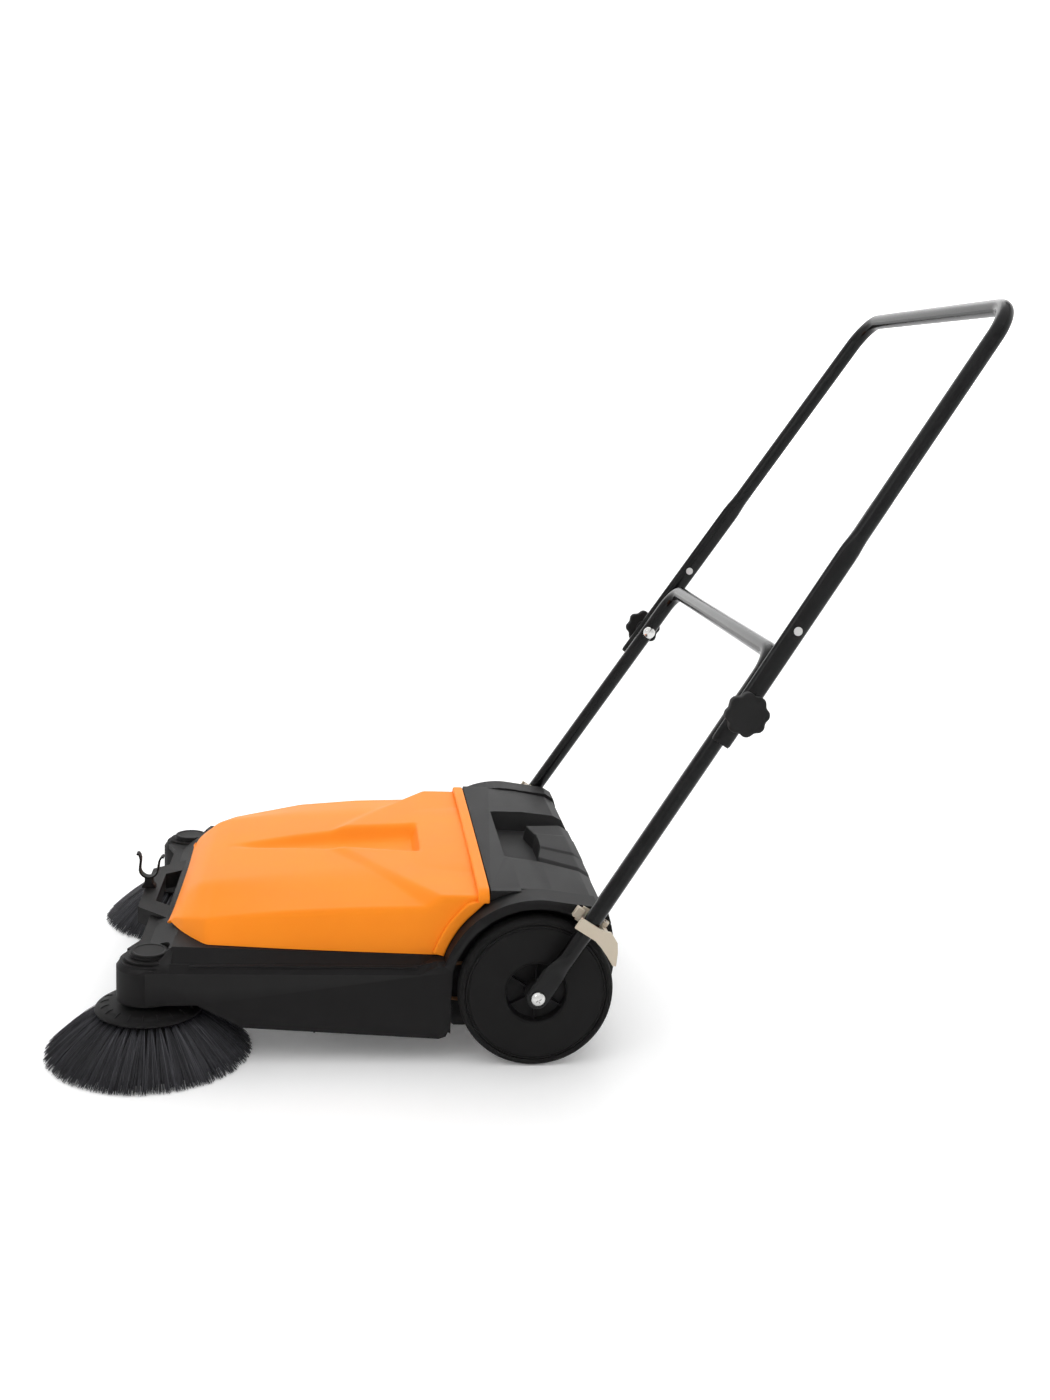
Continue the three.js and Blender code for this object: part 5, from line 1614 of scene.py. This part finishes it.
    def knobs(self) -> None:
        """Builds the lobed clamping knobs."""
        centre = self.line.point(0, self.line.knob_at)
        outer = self.line.upper_half(self.line.knob_at) + self.line.oval / 2
        count = 128
        angles = np.linspace(0, FULL_TURN, count, endpoint=False)
        lobe = (1 + np.cos(self.lobes * angles)) / 2
        profile = [
            (0.0, 1.6), (12.0, 1.6), (13.0, 2.4), (13.0, 7.4), (22.0, 8.0), (26.6, 8.8), (28.0, 10.6),
            (28.0, 18.6), (27.2, 21.2), (25.0, 22.8), (21.5, 23.7), (19.5, 23.7), (18.5, 23.2), (0.0, 22.9),
        ]
        rings = []
        for radius, depth in profile:
            waves = 3.2 * (radius / self.knob_radius) ** 3
            reach = radius - waves * (1 - lobe) ** 1.3
            y, z = centre.y + np.cos(angles) * reach, centre.z + np.sin(angles) * reach
            rings.append(np.stack([np.full(count, outer + depth), y, z], axis=1).tolist())
        piece = self.bench.lofted("knob_grip", rings)
        self.bench.shade(piece, 40.0)
        self.bench.both_sides(piece, "knob_grip", "{side}_knob", "knob_black", "knob")

    def bolts(self) -> None:
        """Builds the knob bolts, whose round heads show inside the legs."""
        centre = self.line.point(0, self.line.knob_at)
        inner = self.line.lower_half(self.line.knob_at) - self.line.tube
        outer = self.line.upper_half(self.line.knob_at) + self.line.oval / 2
        profile = [
            (0, inner - 7), (3.5, inner - 6.8), (6.6, inner - 5.9), (8.6, inner - 4.2), (9.5, inner - 2.2),
            (9.5, inner - 1), (4, inner - 1), (4, outer + 19), (0, outer + 19),
        ]
        piece = self.bench.turned("knob_bolt_head", profile, (0, centre.y, centre.z), Axis.X, 48)
        self.bench.shade(piece, 40.0)
        self.bench.both_sides(piece, "knob_bolt_head", "lower_handle", "bright_steel", "knob_bolt")

    def plugs(self) -> None:
        """Builds the pale plugs in the upper legs' spare holes."""
        centre = self.line.point(0, self.plug_at)
        half, face = self.line.upper_half(self.plug_at), self.line.oval / 2
        dome = [(0, 2.3), (2.6, 2.1), (4.4, 1.6), (5.5, 0.9), (5.5, 0.4)]
        outside = [(r, half + face + h) for r, h in reversed(dome)]
        inside = [(r, half - face - h) for r, h in dome]
        profile = inside + [(4, half - face), (4, half + face)] + outside
        piece = self.bench.turned("leg_plug_dome", profile, (0, centre.y, centre.z), Axis.X, 48)
        self.bench.shade(piece, 40.0)
        self.bench.both_sides(piece, "leg_plug_dome", "upper_handle", "nylon_white", "leg_plug")

    def axle_bolts(self) -> None:
        """Builds the domed axle bolts with a cross recess."""
        out = self.line.lower_half(0) - self.line.tube + self.spade + 0.3
        profile = [
            (0, 240), (5, 240), (5, out), (9.5, out), (9.6, out + 1.0), (9.0, out + 2.4), (7.6, out + 4.2),
            (5.4, out + 5.6), (2.8, out + 6.3), (0, out + 6.5),
        ]
        piece = self.bench.turned("axle_bolt_head", profile, (0, 0, self.line.axle_z), Axis.X, 64)
        for turn in (math.radians(28), math.radians(118)):
            cos, sin = math.cos(turn), math.sin(turn)
            corners = [(-4.0, -0.75), (4.0, -0.75), (4.0, 0.75), (-4.0, 0.75)]
            flat = [(u * cos - w * sin, self.line.axle_z + u * sin + w * cos) for u, w in corners]
            self.bench.combine(piece, self.bench.slab("cross", flat, out + 3.0, out + 9.0))
        self.bench.soften(piece, 0.25, 2, 35)
        self.bench.shade(piece, 35.0)
        self.bench.both_sides(piece, "axle_bolt_head", "body", "bright_steel", "axle_bolt")

    def build(self) -> None:
        """Builds, dresses and places the whole handle."""
        self.lower()
        self.upper()
        self.knobs()
        self.bolts()
        self.plugs()
        self.axle_bolts()


@dataclass
class Latches(Assembly):
    """The pale latches beside the legs."""

    edge: float = 0.9

    def build(self) -> None:
        """Builds, dresses and places both latches and their bases."""
        for side in Side:
            for part, body in (("latch", f"{side.word}_latch"), ("latch_base", "body")):
                node = f"{side.word}_{part}"
                piece = self.bench.refined(node, f"{node}_moulding", self.edge, 25.0)
                self.bench.shade(piece, 30.0)
                self.bench.place(piece, body, "latch_beige", node)


# ---------------------------------------------------------------- carried-over nodes, studio and camera
@dataclass
class CarriedNodes(Assembly):
    """The frame's own nodes that stay in sight: shafts, bushes, pulleys, belts, nuts, screws and flaps."""

    def build(self) -> None:
        """Gives each node the finish of its slot."""
        for part in self.bench.frame["record"]["subparts"]:
            node = self.bench.frame["nodes"][part["node"]]
            node.data.materials.clear()
            node.data.materials.append(SLOT_FINISHES[part["material_slot"]].material())


@dataclass
class Studio:
    """A pale floor, soft lights and the camera."""

    location: Point = (2.05270, -0.2227, 0.84685)
    right: Point = (0.11312599, 0.99224767, 0.05144973)
    up: Point = (-0.2070104, -0.02710783, 0.97796312)
    forward: Point = (-0.97177631, 0.12128367, -0.20233898)
    lens: float = 38.06
    floor_half: float = 12.0
    backdrop_glow: float = 1.0
    sky_power: float = 2.15
    fill: float = 0.24

    def camera(self) -> None:
        """Places the camera."""
        data = bpy.data.cameras.new("camera")
        data.lens = self.lens
        data.sensor_width = 36.0
        data.clip_start = 0.05
        camera = linked("camera", data)
        columns = Matrix((self.right, self.up, tuple(-c for c in self.forward))).transposed()
        camera.matrix_world = Matrix.Translation(Vector(self.location)) @ columns.to_4x4()
        bpy.context.scene.camera = camera

    def plane(self, name: str, placing: Matrix, shade: float, roughness: float, glow: float) -> Piece:
        """Makes one pale plane as large as the studio.

        Args:
            name: The plane's name.
            placing: Where it goes.
            shade: How pale it is.
            roughness: How dull it is.
            glow: How much light it gives of its own.

        Returns:
            The plane.
        """
        Bench.deselect()
        bpy.ops.mesh.primitive_plane_add(size=2 * self.floor_half)
        plane = bpy.context.object
        plane.name = name
        plane.data.transform(placing)
        material = bpy.data.materials.new(f"{name}_white")
        material.use_nodes = True
        shader = material.node_tree.nodes["Principled BSDF"]
        shader.inputs["Base Color"].default_value = (shade, shade, shade, 1.0)
        shader.inputs["Roughness"].default_value = roughness
        shader.inputs["Emission Color"].default_value = (1.0, 1.0, 1.0, 1.0)
        shader.inputs["Emission Strength"].default_value = glow
        plane.data.materials.append(material)
        return plane

    def floor(self) -> None:
        """Lays the pale floor."""
        floor = self.plane("studio_floor", Matrix.Translation((0, 0, -0.0006)), 0.96, 0.9, 0.1)

    def wall(self, name: str, turn: float, glow: float) -> None:
        """Stands one white wall at the edge of the floor.

        Args:
            name: The wall's name.
            turn: Its direction from the middle, in degrees from -X.
            glow: How much light it gives of its own.
        """
        upright = Matrix.Translation((-self.floor_half + 0.05, 0, 0)) @ Matrix.Rotation(math.pi / 2, 4, "Y")
        wall = self.plane(name, Matrix.Rotation(math.radians(turn), 4, "Z") @ upright, 0.93, 0.95, glow)

    def light(self, name: str, place: Point, target: Point, size: float, power: float) -> None:
        """Hangs one large soft light.

        Args:
            name: The light's name.
            place: Where it hangs.
            target: What it points at.
            size: Its edge length.
            power: Its power in watts.
        """
        data = bpy.data.lights.new(name, "AREA")
        data.shape = "SQUARE"
        data.size = size
        data.energy = power
        lamp = linked(name, data)
        aim = (Vector(target) - Vector(place)).to_track_quat("-Z", "Y")
        lamp.matrix_world = Matrix.Translation(place) @ aim.to_matrix().to_4x4()

    def sky(self) -> None:
        """Lights the whole floor evenly from above, and fills the shadows from all round."""
        data = bpy.data.lights.new("sky", "SUN")
        data.energy = self.sky_power
        data.angle = math.radians(120)
        lamp = linked("sky", data)
        aim = Vector((0.25, -0.3, 1.0)).to_track_quat("Z", "Y")
        lamp.matrix_world = aim.to_matrix().to_4x4()
        world = bpy.data.worlds.new("studio")
        world.use_nodes = True
        background = world.node_tree.nodes["Background"]
        background.inputs["Color"].default_value = (1.0, 1.0, 1.0, 1.0)
        background.inputs["Strength"].default_value = self.fill
        bpy.context.scene.world = world

    def build(self) -> None:
        """Sets up the camera, the floor, the backdrop and the lights."""
        self.camera()
        self.floor()
        self.wall("studio_backdrop", 0.0, self.backdrop_glow)
        for number, turn in enumerate((90.0, 180.0, 270.0), start=1):
            self.wall(f"studio_wall_{number}", turn, 0.0)
        self.sky()
        self.light("key", (1.9, -1.6, 2.2), (0, 0, 0.3), 1.2, 7)
        self.light("rim", (-1.6, 0.6, 2.4), (0, 0, 0.3), 1.4, 9)
        bpy.context.scene.view_settings.view_transform = "Standard"


def build_all(frame: dict) -> None:
    """Builds every sub-assembly in order.
    """
    low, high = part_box("left_tyre")
    bench = Bench(frame, (low.y + high.y) / 2)
    CarriedNodes(bench).build()
    for assembly in (Body, Hood, Hopper, Wheels, SideBrushes, MainBrush, Handle, Latches):
        assembly(bench).build()
        log.info("%s is done", assembly.__name__)
    Bench.deselect()
    log.info("%d pieces made", len(bench.made))


def main() -> None:
    """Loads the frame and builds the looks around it."""
    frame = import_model()
    Studio().build()
    build_all(frame)


if __name__ == "__main__":
    main()
